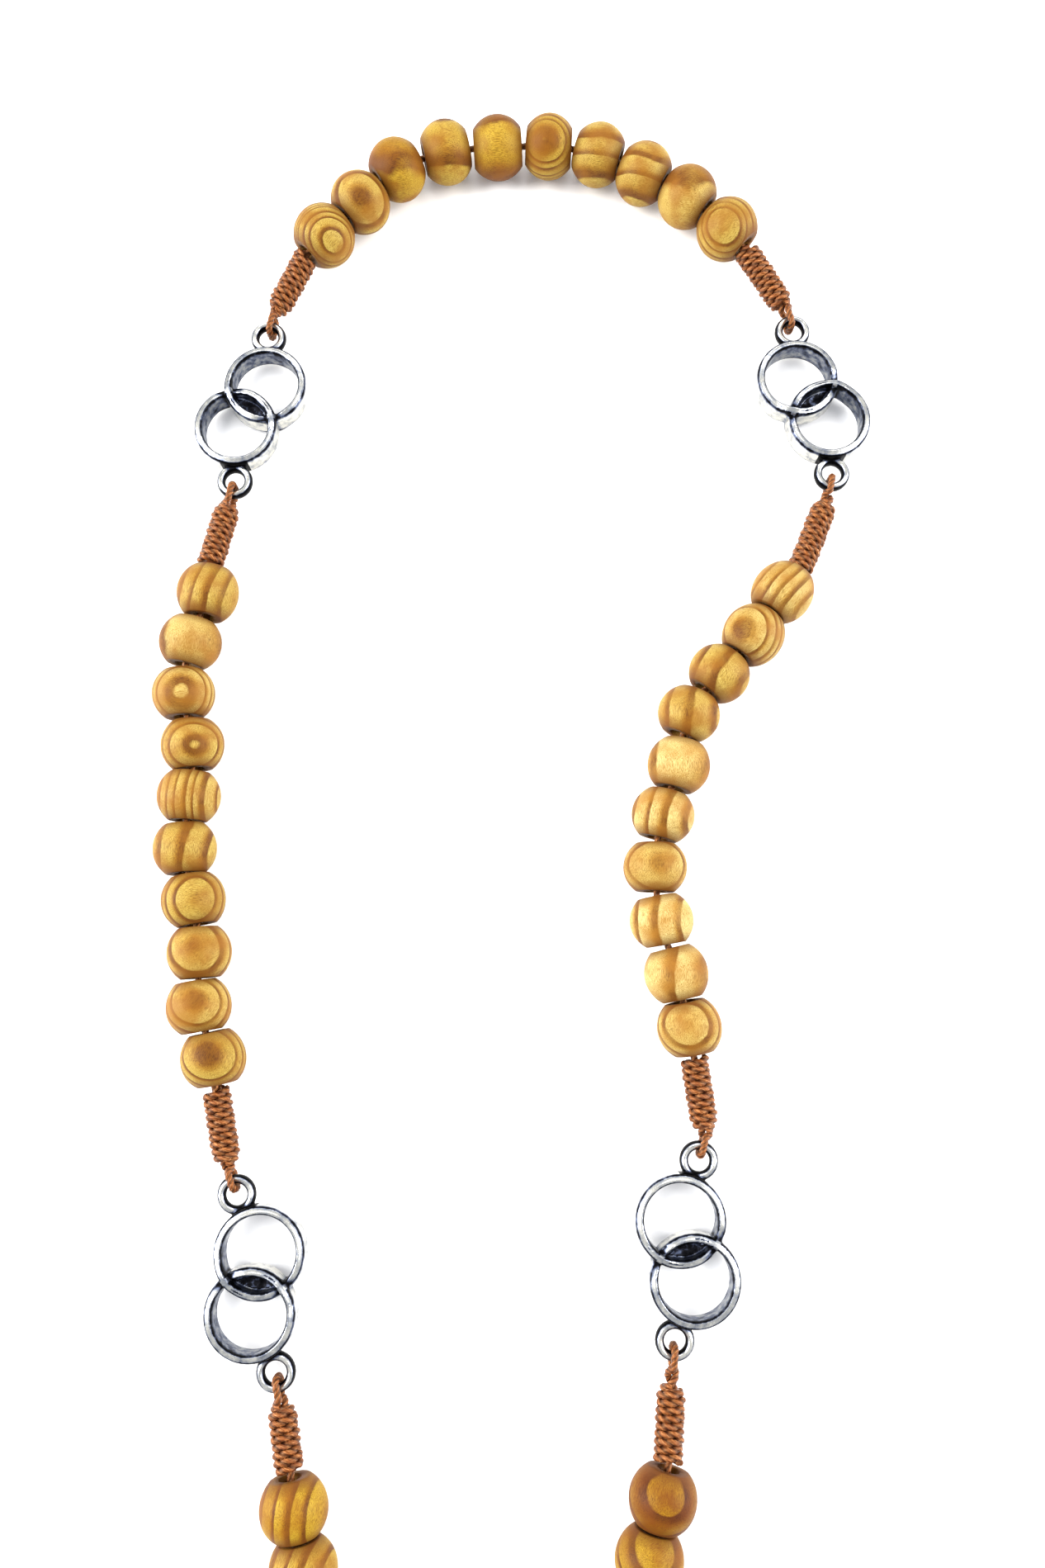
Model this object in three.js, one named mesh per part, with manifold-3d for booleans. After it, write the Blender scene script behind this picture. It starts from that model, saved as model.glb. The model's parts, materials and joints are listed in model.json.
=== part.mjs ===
// A five-decade rosary laid out flat: turned wooden beads on knotted cord, cast ring connectors
// between the decades, an oval centrepiece, a five-bead pendant and a plain wood-inlaid cross.
// Millimetres, +Z up, +Y from the cross towards the top decade, resting on z = 0.

import * as THREE from 'three';
import { mergeVertices } from 'three/addons/utils/BufferGeometryUtils.js';
import Module from 'manifold-3d';

const wasm = await Module();
wasm.setup();

// Driving dimensions
const LAYOUT_SHIFT = new THREE.Vector3( 0.43, 72.68, 0 );  // puts the origin under the middle of the rosary

const CORD_DIAMETER = 0.95;
const CORD_SIDES = 8;
const CORD_STEP = 3.0;
const LOOP_STEP = 1.3;

const SIDE_BEAD = { diameter: 8.0, length: 6.3 };
const TOP_BEAD = { diameter: 8.5, length: 6.5 };
const BEAD_BORE = 2.4;
const BEAD_FACE = 3.6;
const BEAD_SIDES = 8;
const BEAD_SHOULDER = { out: 0.84, along: 0.58 };  // shares of the radius and of the half length
const BEAD_PITCH = 6.7;

const KNOT_DIAMETER = 3.5;
const SHORT_KNOT = { diameter: 3.2, length: 4.6 };
const KNOT_SIDES = 8;
const KNOT_TAPER = { out: 0.62, length: 1.0 };  // end radius as a share, and how long the taper is
const INTO_KNOT = 0.35;  // share of a knot's length that the tube runs into it

const RING = { outer: 5.55, inner: 4.45, depth: 3.6 };
const RING_SIDES = 24;
const RING_CHAMFER = 0.3;
const RING_ALONG = 3.3;
const RING_ACROSS = 1.35;
const WEB = { thickness: 1.2, rise: - 0.6, lap: 0.4 };  // sunk plate that closes the eye between two rings
const EYELET = { outer: 2.4, hole: 1.3, thickness: 1.6 };
const EYELET_SIDES = 12;
const EYELET_SPAN = 21.2;
const EYELET_HEIGHT = 2.1;
const LOOP_GAP = 0.2;  // between the cord of a loop and the metal of its eyelet

const MEDAL = { width: 15, height: 19, thickness: 2.4 };
const MEDAL_EYELET_ACROSS = 4.6;
const MEDAL_EYELET_UP = 9.4;
const MEDAL_EYELET_DOWN = 11.2;
const MEDAL_EDGE = 0.4;
const MEDAL_SIDES = 40;
const MEDAL_CROSS = { height: 12, width: 8, bar: 1.8, relief: 0.6, bar_up: 2 };

const CROSS = { height: 40, width: 25, arm: 6.4, flare: 8.4, thickness: 3.4, bar_drop: 13.2 };
const CROSS_EYELET_INTO_FRAME = 0.5;
const INLAY = { margin: 1.5, depth: 1.2, gap: 0.3 };

// Centre and heading of each connector, from its upper eyelet to its lower one.
// The side says towards which hand the upper ring is offset.
const CONNECTORS = {
  upper_left: { centre: [ - 36.95, 78.2 ], heading: - 100.5, side: 1 },
  upper_right: { centre: [ 39.55, 79.2 ], heading: - 77.5, side: - 1 },
  lower_left: { centre: [ - 32.35, - 35.0 ], heading: - 75.0, side: 1 },
  lower_right: { centre: [ 20.05, - 31.2 ], heading: - 99.2, side: - 1 },
};
const MEDAL_CENTRE = [ - 4.5, - 143.2 ];
const CROSS_TOP_EYELET = [ - 4.2, - 224.2 ];

// Routes of the cords as the rosary lies, one point for each bead, x and y in the layout
const DECADE_3_BEADS = [
  [ - 27.4, 102.8 ], [ - 22.5, 107.9 ], [ - 17.5, 112.9 ], [ - 10.7, 115.6 ], [ - 3.5, 116.3 ],
  [ 3.7, 116.5 ], [ 10.6, 115.2 ], [ 16.9, 112.3 ], [ 22.9, 108.7 ], [ 28.3, 103.8 ],
];
const DECADE_2_BEADS = [
  [ - 41.4, 51.5 ], [ - 43.4, 44.8 ], [ - 44.0, 37.9 ], [ - 42.5, 31.1 ], [ - 42.7, 24.4 ],
  [ - 42.9, 17.7 ], [ - 41.5, 11.2 ], [ - 40.5, 4.6 ], [ - 40.3, - 2.0 ], [ - 38.2, - 8.3 ],
];
const DECADE_4_BEADS = [
  [ 34.2, 51.6 ], [ 30.2, 45.8 ], [ 25.6, 40.6 ], [ 21.5, 35.2 ], [ 20.1, 28.5 ],
  [ 17.9, 22.0 ], [ 16.8, 15.3 ], [ 17.5, 8.6 ], [ 19.2, 2.0 ], [ 20.7, - 4.6 ],
];
const DECADE_1_BEADS = [
  [ - 26.7, - 59.6 ], [ - 25.4, - 66.2 ], [ - 24.3, - 72.8 ], [ - 23.2, - 79.4 ], [ - 21.9, - 86.0 ],
  [ - 20.3, - 92.5 ], [ - 18.7, - 99.0 ], [ - 17.1, - 105.5 ], [ - 15.5, - 112.0 ], [ - 13.9, - 118.5 ],
];
const DECADE_5_BEADS = [
  [ 16.4, - 58.6 ], [ 14.7, - 65.1 ], [ 13.3, - 71.7 ], [ 12.1, - 78.3 ], [ 10.8, - 84.9 ],
  [ 9.4, - 91.4 ], [ 8.0, - 97.9 ], [ 6.6, - 104.4 ], [ 5.2, - 110.9 ], [ 3.8, - 117.4 ],
];
const PENDANT_BEADS = [
  [ - 4.8, - 170.4 ], [ - 5.2, - 182.6 ], [ - 5.3, - 189.3 ], [ - 5.2, - 196.0 ], [ - 4.6, - 208.2 ],
];
const PENDANT_SPACERS = [ 0, 3 ];  // beads with a short knot after them

// The knots at the two ends of each cord: where each meets its bead, and its end towards the eyelet
const KNOTS = {
  decade_3: [ [ [ - 30.0, 100.0 ], [ - 34.1, 92.1 ] ], [ [ 30.8, 101.0 ], [ 36.3, 92.9 ] ] ],
  decade_2: [ [ [ - 41.6, 55.4 ], [ - 39.4, 64.6 ] ], [ [ - 37.9, - 12.2 ], [ - 36.2, - 21.3 ] ] ],
  decade_4: [ [ [ 36.9, 54.8 ], [ 40.9, 64.7 ] ], [ [ 21.3, - 8.6 ], [ 22.6, - 17.4 ] ] ],
  decade_1: [ [ [ - 27.3, - 55.8 ], [ - 28.9, - 48.4 ] ], [ [ - 13.0, - 122.2 ], [ - 10.0, - 130.6 ] ] ],
  decade_5: [ [ [ 17.2, - 54.8 ], [ 17.8, - 46.2 ] ], [ [ 3.0, - 121.2 ], [ 0.9, - 130.0 ] ] ],
  pendant: [ [ [ - 4.7, - 166.6 ], [ - 4.55, - 157.7 ] ], [ [ - 4.4, - 212.0 ], [ - 4.25, - 220.8 ] ] ],
};
const KNOT_DROPS = [ 0.22, 0.78 ];  // share of the way from the beads' height down to the eyelets'

const LOWER_SINGLES = 5;  // beads modelled one by one in the first and fifth decade, the rest as a run

const PINE = 0xd9ac62;
const SILVER = 0xa9a8a4;
const SATIN_CORD = 0xa8653a;
const INLAY_PINE = 0xb98645;
const WOOD_ROUGHNESS = 0.45;
const CORD_ROUGHNESS = 0.4;
const METAL_ROUGHNESS = 0.35;

// Turning a three.js geometry into a solid and back, for joining and cutting

function toSolid( geometry ) {

  const bare = geometry.clone();
  bare.deleteAttribute( 'normal' );
  bare.deleteAttribute( 'uv' );
  const merged = mergeVertices( bare, 1e-4 );
  return new wasm.Manifold( new wasm.Mesh( {
    numProp: 3,
    vertProperties: new Float32Array( merged.attributes.position.array ),
    triVerts: new Uint32Array( merged.index.array ),
  } ) );

}

function toGeometry( solid ) {

  const mesh = solid.getMesh();
  const geometry = new THREE.BufferGeometry();
  const points = new Float32Array( mesh.vertProperties );
  geometry.setAttribute( 'position', new THREE.BufferAttribute( points, 3 ) );
  geometry.setIndex( new THREE.BufferAttribute( new Uint32Array( mesh.triVerts ), 1 ) );
  geometry.computeVertexNormals();
  return geometry;

}

function join( geometries ) {

  let solid = toSolid( geometries[ 0 ] );
  for ( const geometry of geometries.slice( 1 ) ) solid = solid.add( toSolid( geometry ) );
  return toGeometry( solid );

}

// Lathe solids: the profile is [radius, height] pairs and the axis is +Y

function turned( profile, sides ) {

  return new THREE.LatheGeometry( profile.map( ( [ r, h ] ) => new THREE.Vector2( r, h ) ), sides );

}

function ringProfile( inner, outer, depth, chamfer ) {

  const h = depth / 2;
  return [
    [ inner, - h + chamfer ],
    [ ( inner + outer ) / 2, - h ],
    [ outer, - h + chamfer ],
    [ outer, h - chamfer ],
    [ ( inner + outer ) / 2, h ],
    [ inner, h - chamfer ],
    [ inner, - h + chamfer ],
  ];

}

// Outer line of one bead, from its lower face to its upper one, centred at the given height

function beadOutline( bead, height ) {

  const r = bead.diameter / 2;
  const h = bead.length / 2;
  return [
    [ BEAD_FACE / 2, height - h ],
    [ r * BEAD_SHOULDER.out, height - h * BEAD_SHOULDER.along ],
    [ r, height ],
    [ r * BEAD_SHOULDER.out, height + h * BEAD_SHOULDER.along ],
    [ BEAD_FACE / 2, height + h ],
  ];

}

function boredBeads( bead, count ) {

  const outline = [];
  for ( let i = 0; i < count; i ++ ) {

    const height = ( i - ( count - 1 ) / 2 ) * BEAD_PITCH;
    outline.push( ...beadOutline( bead, height ) );

  }

  const top = outline[ outline.length - 1 ][ 1 ];
  const profile = [ [ BEAD_BORE / 2, - top ], ...outline, [ BEAD_BORE / 2, top ], [ BEAD_BORE / 2, - top ] ];
  return turned( profile, BEAD_SIDES );

}

// Cord pieces

function cordSection() {

  const section = new THREE.Shape();
  section.absarc( 0, 0, CORD_DIAMETER / 2, 0, Math.PI * 2 );
  return section;

}

function cordTube( points, step ) {

  const curve = new THREE.CatmullRomCurve3( points, false, 'catmullrom', 0.5 );
  const steps = Math.max( 3, Math.round( curve.getLength() / step ) );
  return new THREE.ExtrudeGeometry( cordSection(), {
    steps,
    extrudePath: curve,
    curveSegments: CORD_SIDES / 2,
    bevelEnabled: false,
  } );

}

// A barrel knot between two points, wound from the cord itself, tapered at both ends

function barrelKnot( diameter, from, to ) {

  const h = from.distanceTo( to ) / 2;
  const r = diameter / 2;
  const tip = r * KNOT_TAPER.out;
  const full = h - KNOT_TAPER.length;
  const profile = [ [ 0, - h ], [ tip, - h ], [ r, - full ], [ r, full ], [ tip, h ], [ 0, h ] ];
  const geometry = turned( profile, KNOT_SIDES );
  const turn = new THREE.Quaternion().setFromUnitVectors(
    new THREE.Vector3( 0, 1, 0 ), to.clone().sub( from ).normalize() );
  geometry.applyQuaternion( turn );
  const middle = from.clone().add( to ).multiplyScalar( 0.5 );
  return geometry.translate( middle.x, middle.y, middle.z );

}

// The loop through an eyelet, as an upper and a lower strand that meet in the hole and in the knot.
// Along is measured from the eyelet's centre towards the knot, up from the eyelet's middle.

function eyeletLoop( eyelet, knotEnd ) {

  const rim = ( EYELET.outer + EYELET.hole ) / 2;
  const inHole = EYELET.hole - LOOP_GAP - CORD_DIAMETER / 2;
  const over = EYELET.thickness / 2 + LOOP_GAP + CORD_DIAMETER / 2;
  const towards = new THREE.Vector3( knotEnd.x - eyelet.x, knotEnd.y - eyelet.y, 0 ).normalize();
  const reach = Math.hypot( knotEnd.x - eyelet.x, knotEnd.y - eyelet.y );
  const rise = knotEnd.z - eyelet.z;
  const place = ( [ along, up ] ) => eyelet.clone().addScaledVector( towards, along ).setZ( eyelet.z + up );
  return [ 1, - 1 ].map( side => {

    const bend = [
      [ inHole, - side * 0.4 ],
      [ inHole, side * 0.55 ],
      [ inHole + 0.35, side * ( over - 0.2 ) ],
      [ rim, side * over ],
      [ rim + 1.0, side * ( over - 0.35 ) ],
      [ reach, rise + side * 0.45 ],
      [ reach + 1.2, rise + side * 0.3 ],
    ];
    return cordTube( bend.map( place ), LOOP_STEP );

  } );

}

// Named meshes in one group

const rosary = new THREE.Group();
rosary.position.copy( LAYOUT_SHIFT );

function add( name, geometry, color, roughness, metalness ) {

  const mesh = new THREE.Mesh( geometry, new THREE.MeshStandardMaterial( { color, roughness, metalness } ) );
  mesh.name = name;
  rosary.add( mesh );
  return mesh;

}

function addTurned( name, geometry, centre, axis ) {

  const mesh = add( name, geometry, PINE, WOOD_ROUGHNESS, 0 );
  mesh.position.copy( centre );
  mesh.quaternion.setFromUnitVectors( new THREE.Vector3( 0, 1, 0 ), axis );

}

// A strand: the cord through its beads, held at each end by a barrel knot with a loop in an eyelet.
// Beads are given as layout points and lie with their centres at their own radius above the table.

function beadCentres( beadPoints, beadSize ) {

  return beadPoints.map( ( [ x, y ] ) => new THREE.Vector3( x, y, beadSize.diameter / 2 ) );

}

// A bead's hole lies midway between the directions to its two neighbours on the cord

function holeAxis( before, here, after ) {

  const arriving = here.clone().sub( before ).normalize();
  const leaving = after.clone().sub( here ).normalize();
  return arriving.add( leaving ).normalize();

}

// The two ends of a knot, coming down from the height of the beads towards that of the eyelets

function knotEnds( points, height ) {

  return points.map( ( [ x, y ], i ) => {

    const z = THREE.MathUtils.lerp( height, EYELET_HEIGHT, KNOT_DROPS[ i ] );
    return new THREE.Vector3( x, y, z );

  } );

}

function addStrand( name, ends, beadPoints, beadSize, singles, spacers = [] ) {

  const centres = beadCentres( beadPoints, beadSize );
  const [ upper, lower ] = KNOTS[ name ].map( points => knotEnds( points, beadSize.diameter / 2 ) );
  const stops = [ upper[ 0 ], ...centres, lower[ 0 ] ];
  const axes = centres.map( ( centre, i ) => holeAxis( stops[ i ], centre, stops[ i + 2 ] ) );
  const last = centres.length - 1;
  const route = [
    upper[ 0 ].clone().lerp( upper[ 1 ], INTO_KNOT ),
    upper[ 0 ],
    ...centres,
    lower[ 0 ],
    lower[ 0 ].clone().lerp( lower[ 1 ], INTO_KNOT ),
  ];
  add( `${ name }_cord`, join( [
    cordTube( route, CORD_STEP ),
    barrelKnot( KNOT_DIAMETER, ...upper ),
    barrelKnot( KNOT_DIAMETER, ...lower ),
    ...eyeletLoop( ends[ 0 ], upper[ 1 ] ),
    ...eyeletLoop( ends[ 1 ], lower[ 1 ] ),
    ...spacers.map( i => spacerKnot( centres[ i ], centres[ i + 1 ] ) ),
  ] ), SATIN_CORD, CORD_ROUGHNESS, 0 );

  const bead = boredBeads( beadSize, 1 );
  for ( let i = 0; i < singles; i ++ ) {

    addTurned( `${ name }_bead_${ i + 1 }`, bead, centres[ i ], axes[ i ] );

  }

  if ( singles < centres.length ) {

    const run = boredBeads( beadSize, centres.length - singles );
    const along = centres[ last ].clone().sub( centres[ singles ] );
    const middle = centres[ singles ].clone().addScaledVector( along, 0.5 );
    addTurned( `${ name }_bead_run`, run, middle, along.normalize() );

  }

}

// A short barrel knot halfway between two beads

function spacerKnot( above, below ) {

  const middle = above.clone().add( below ).multiplyScalar( 0.5 );
  const half = below.clone().sub( above ).normalize().multiplyScalar( SHORT_KNOT.length / 2 );
  return barrelKnot( SHORT_KNOT.diameter, middle.clone().sub( half ), middle.clone().add( half ) );

}

// Cast ring connectors: two deep rings that cross, a sunk plate in the eye between them and two eyelets

function uprightRing( inner, outer, depth, sides, x, y, z ) {

  return turned( ringProfile( inner, outer, depth, RING_CHAMFER ), sides )
    .rotateX( Math.PI / 2 )
    .translate( x, y, z );

}

function eyeletAt( x, y, z ) {

  return uprightRing( EYELET.hole, EYELET.outer, EYELET.thickness, EYELET_SIDES, x, y, z );

}

function connectorEyelets( { centre, heading } ) {

  const turn = THREE.MathUtils.degToRad( heading );
  return [ - 1, 1 ].map( end => new THREE.Vector3(
    centre[ 0 ] + end * Math.cos( turn ) * EYELET_SPAN / 2,
    centre[ 1 ] + end * Math.sin( turn ) * EYELET_SPAN / 2,
    EYELET_HEIGHT ) );

}

function eyeWeb( side ) {

  const discs = [ - 1, 1 ].map( end => {

    const radius = RING.inner + WEB.lap;
    const profile = [ [ 0, 0 ], [ radius, 0 ], [ radius, WEB.thickness ], [ 0, WEB.thickness ] ];
    const disc = turned( profile, RING_SIDES );
    disc.rotateX( Math.PI / 2 );
    return toSolid( disc.translate( end * RING_ALONG, - end * side * RING_ACROSS, WEB.rise ) );

  } );
  return toGeometry( discs[ 0 ].intersect( discs[ 1 ] ) );

}

function addConnector( name, { centre, heading, side } ) {

  const geometry = join( [
    eyeWeb( side ),
    uprightRing( RING.inner, RING.outer, RING.depth, RING_SIDES, - RING_ALONG, side * RING_ACROSS, 0 ),
    uprightRing( RING.inner, RING.outer, RING.depth, RING_SIDES, RING_ALONG, - side * RING_ACROSS, 0 ),
    eyeletAt( - EYELET_SPAN / 2, 0, 0 ),
    eyeletAt( EYELET_SPAN / 2, 0, 0 ),
  ] );
  const mesh = add( `ring_connector_${ name }`, geometry, SILVER, METAL_ROUGHNESS, 1 );
  mesh.position.set( centre[ 0 ], centre[ 1 ], EYELET_HEIGHT );
  mesh.rotation.z = THREE.MathUtils.degToRad( heading );

}

// Oval centrepiece with a raised plain cross and three eyelets

const medalEyelets = [
  [ - MEDAL_EYELET_ACROSS, MEDAL_EYELET_UP ],
  [ MEDAL_EYELET_ACROSS, MEDAL_EYELET_UP ],
  [ 0, - MEDAL_EYELET_DOWN ],
].map( ( [ x, y ] ) => new THREE.Vector3( MEDAL_CENTRE[ 0 ] + x, MEDAL_CENTRE[ 1 ] + y, EYELET_HEIGHT ) );

function addCentrepiece() {

  const [ x, y ] = MEDAL_CENTRE;
  const outline = new THREE.Shape();
  outline.absellipse( 0, 0, MEDAL.width / 2 - MEDAL_EDGE, MEDAL.height / 2 - MEDAL_EDGE, 0, Math.PI * 2 );
  const plate = new THREE.ExtrudeGeometry( outline, {
    depth: MEDAL.thickness - 2 * MEDAL_EDGE,
    bevelEnabled: true,
    bevelThickness: MEDAL_EDGE,
    bevelSize: MEDAL_EDGE,
    bevelSegments: 1,
    curveSegments: MEDAL_SIDES / 4,
  } ).translate( x, y, MEDAL_EDGE );
  const upright = new THREE.BoxGeometry( MEDAL_CROSS.bar, MEDAL_CROSS.height, MEDAL_CROSS.relief * 2 );
  const bar = new THREE.BoxGeometry( MEDAL_CROSS.width, MEDAL_CROSS.bar, MEDAL_CROSS.relief * 2 );
  upright.translate( x, y, MEDAL.thickness );
  bar.translate( x, y + MEDAL_CROSS.bar_up, MEDAL.thickness );
  const hangers = medalEyelets.map( e => eyeletAt( e.x, e.y, e.z ) );
  add( 'centrepiece', join( [ plate, upright, bar, ...hangers ] ), SILVER, METAL_ROUGHNESS, 1 );

}

// Cross: a cast frame with flared ends and a sunk face, and the thin wood panel that lies in it

function crossOutline( inset ) {

  const half = CROSS.width / 2 - inset;
  const arm = CROSS.arm / 2 - inset;
  const flare = CROSS.flare / 2 - inset;
  const top = CROSS.bar_drop - inset;
  const foot = - ( CROSS.height - CROSS.bar_drop ) + inset;
  const outline = new THREE.Shape();
  outline.moveTo( arm, arm );
  outline.lineTo( half, flare );
  outline.lineTo( half, - flare );
  outline.lineTo( arm, - arm );
  outline.lineTo( flare, foot );
  outline.lineTo( - flare, foot );
  outline.lineTo( - arm, - arm );
  outline.lineTo( - half, - flare );
  outline.lineTo( - half, flare );
  outline.lineTo( - arm, arm );
  outline.lineTo( - flare, top );
  outline.lineTo( flare, top );
  outline.closePath();
  return outline;

}

function slab( outline, thickness, x, y, z ) {

  return new THREE.ExtrudeGeometry( outline, { depth: thickness, bevelEnabled: false } ).translate( x, y, z );

}

const crossEyelet = new THREE.Vector3( ...CROSS_TOP_EYELET, EYELET_HEIGHT );

function addCross() {

  const x = CROSS_TOP_EYELET[ 0 ];
  const y = CROSS_TOP_EYELET[ 1 ] - EYELET.outer + CROSS_EYELET_INTO_FRAME - CROSS.bar_drop;
  const sink = CROSS.thickness - INLAY.depth;
  const plate = toSolid( slab( crossOutline( 0 ), CROSS.thickness, x, y, 0 ) );
  const recess = toSolid( slab( crossOutline( INLAY.margin ), INLAY.depth * 2, x, y, sink ) );
  const eyelet = toSolid( eyeletAt( crossEyelet.x, crossEyelet.y, crossEyelet.z ) );
  add( 'cross_frame', toGeometry( plate.subtract( recess ).add( eyelet ) ), SILVER, METAL_ROUGHNESS, 1 );
  const outline = crossOutline( INLAY.margin + INLAY.gap );
  const inlay = slab( outline, INLAY.depth - INLAY.gap, x, y, sink + INLAY.gap );
  add( 'cross_inlay', inlay, INLAY_PINE, WOOD_ROUGHNESS, 0 );

}

const eyelets = {};
for ( const [ name, connector ] of Object.entries( CONNECTORS ) ) {

  eyelets[ name ] = connectorEyelets( connector );
  addConnector( name, connector );

}

const topEnds = [ eyelets.upper_left[ 0 ], eyelets.upper_right[ 0 ] ];
const leftEnds = [ eyelets.upper_left[ 1 ], eyelets.lower_left[ 0 ] ];
const rightEnds = [ eyelets.upper_right[ 1 ], eyelets.lower_right[ 0 ] ];
const lowerLeftEnds = [ eyelets.lower_left[ 1 ], medalEyelets[ 0 ] ];
const lowerRightEnds = [ eyelets.lower_right[ 1 ], medalEyelets[ 1 ] ];
const pendantEnds = [ medalEyelets[ 2 ], crossEyelet ];
addStrand( 'decade_3', topEnds, DECADE_3_BEADS, TOP_BEAD, DECADE_3_BEADS.length );
addStrand( 'decade_2', leftEnds, DECADE_2_BEADS, SIDE_BEAD, DECADE_2_BEADS.length );
addStrand( 'decade_4', rightEnds, DECADE_4_BEADS, SIDE_BEAD, DECADE_4_BEADS.length );
addStrand( 'decade_1', lowerLeftEnds, DECADE_1_BEADS, SIDE_BEAD, LOWER_SINGLES );
addStrand( 'decade_5', lowerRightEnds, DECADE_5_BEADS, SIDE_BEAD, LOWER_SINGLES );
addStrand( 'pendant', pendantEnds, PENDANT_BEADS, SIDE_BEAD, PENDANT_BEADS.length, PENDANT_SPACERS );
addCentrepiece();
addCross();

export default rosary;
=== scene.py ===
import json
import math
import random

import bmesh
import bpy
from mathutils import Matrix, Vector, noise


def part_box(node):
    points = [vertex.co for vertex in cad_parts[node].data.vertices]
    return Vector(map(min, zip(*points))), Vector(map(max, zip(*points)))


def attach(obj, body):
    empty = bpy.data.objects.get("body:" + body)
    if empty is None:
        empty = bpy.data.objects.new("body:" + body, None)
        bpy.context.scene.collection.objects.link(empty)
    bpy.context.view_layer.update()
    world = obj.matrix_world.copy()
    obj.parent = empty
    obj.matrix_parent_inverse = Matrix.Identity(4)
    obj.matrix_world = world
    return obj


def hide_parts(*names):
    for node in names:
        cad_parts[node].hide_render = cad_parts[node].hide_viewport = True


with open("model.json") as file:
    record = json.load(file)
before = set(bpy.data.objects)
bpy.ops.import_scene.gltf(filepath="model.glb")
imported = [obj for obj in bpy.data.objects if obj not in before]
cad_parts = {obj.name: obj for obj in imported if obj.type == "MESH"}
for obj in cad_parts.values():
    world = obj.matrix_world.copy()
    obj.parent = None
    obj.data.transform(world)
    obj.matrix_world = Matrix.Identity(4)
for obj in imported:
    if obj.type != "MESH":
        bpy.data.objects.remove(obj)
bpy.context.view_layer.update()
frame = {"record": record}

MM = 0.001
JOINTS = {joint["name"]: joint for joint in frame["record"]["behaviour"]["joints"]}

# Sizes in millimetres, as the solids have them
LAYOUT_SHIFT = (0.43, 72.68)
CORD_DIAMETER = 0.95
SIDE_BEAD_DIAMETER = 8.0
TOP_BEAD_DIAMETER = 8.5
BEAD_LENGTH = 6.3
MOST_BEAD_LENGTH = 7.3
BEAD_BORE = 2.4
BEAD_FACE = 4.9
BEAD_GAP = 0.12
BEAD_PITCH = 6.7
KNOT_DIAMETER = 3.6
KNOT_CORE_RADIUS = 1.2
WRAP_PITCH = 0.84
WRAP_LAY = 2.4
WRAP_PLY_DEPTH = 0.32
SHORT_KNOT_LENGTH = 4.6
INTO_KNOT = 0.35
KNOT_GAP = 0.3
LOOP_RADIUS = 0.46
LOOP_LAY = 2.2
LOOP_GAP_IN_HOLE = 0.12
LOOP_GAP_OVER = 0.2
ROUTE_STEP = 0.45
LOOP_STEP = 0.25
STEPS_PER_WRAP = 24
RING_OUTER = 5.55
RING_INNER = 4.45
RING_MIDDLE = (RING_OUTER + RING_INNER) / 2
RING_DEPTH = 3.6
RING_LIFT = 0.34
RING_ALONG = 3.3
RING_ACROSS = 1.35
EYELET_OUTER = 2.4
EYELET_HOLE = 1.3
EYELET_MIDDLE = (EYELET_OUTER + EYELET_HOLE) / 2
EYELET_THICKNESS = 1.6
EYELET_SPAN = 21.2
EYELET_HEIGHT = 2.1
CROSS = {"height": 40, "width": 25, "arm": 6.4, "flare": 8.4, "thickness": 3.4, "drop": 13.2}
INLAY_MARGIN = 1.5
INLAY_DEPTH = 1.2
INLAY_GAP = 0.3
MEDAL = {"width": 15, "height": 19, "thickness": 2.4, "bar": 1.6, "back": 0.05}
CAST_VOXEL = 0.12
CROSS_VOXEL = 0.13
STRAND_SEED = 400

# Routes of the cords, in mm on the table: one point for each bead
BEAD_ROUTES = {
    "decade_3": [
        (-27.4, 102.8), (-22.5, 107.9), (-17.5, 112.9), (-10.7, 115.6), (-3.5, 116.3),
        (3.7, 116.5), (10.6, 115.2), (16.9, 112.3), (22.9, 108.7), (28.3, 103.8)],
    "decade_2": [
        (-41.4, 51.5), (-43.4, 44.8), (-44.0, 37.9), (-42.5, 31.1), (-42.7, 24.4),
        (-42.9, 17.7), (-41.5, 11.2), (-40.5, 4.6), (-40.3, -2.0), (-38.2, -8.3)],
    "decade_4": [
        (34.2, 51.6), (30.2, 45.8), (25.6, 40.6), (21.5, 35.2), (20.1, 28.5),
        (17.9, 22.0), (16.8, 15.3), (17.5, 8.6), (19.2, 2.0), (20.7, -4.6)],
    "decade_1": [
        (-26.7, -59.6), (-25.4, -66.2), (-24.3, -72.8), (-23.2, -79.4), (-21.9, -86.0),
        (-20.3, -92.5), (-18.7, -99.0), (-17.1, -105.5), (-15.5, -112.0), (-13.9, -118.5)],
    "decade_5": [
        (16.4, -58.6), (14.7, -65.1), (13.3, -71.7), (12.1, -78.3), (10.8, -84.9),
        (9.4, -91.4), (8.0, -97.9), (6.6, -104.4), (5.2, -110.9), (3.8, -117.4)],
    "pendant": [(-4.8, -170.4), (-5.2, -182.6), (-5.3, -189.3), (-5.2, -196.0), (-4.6, -208.2)],
}
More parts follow.
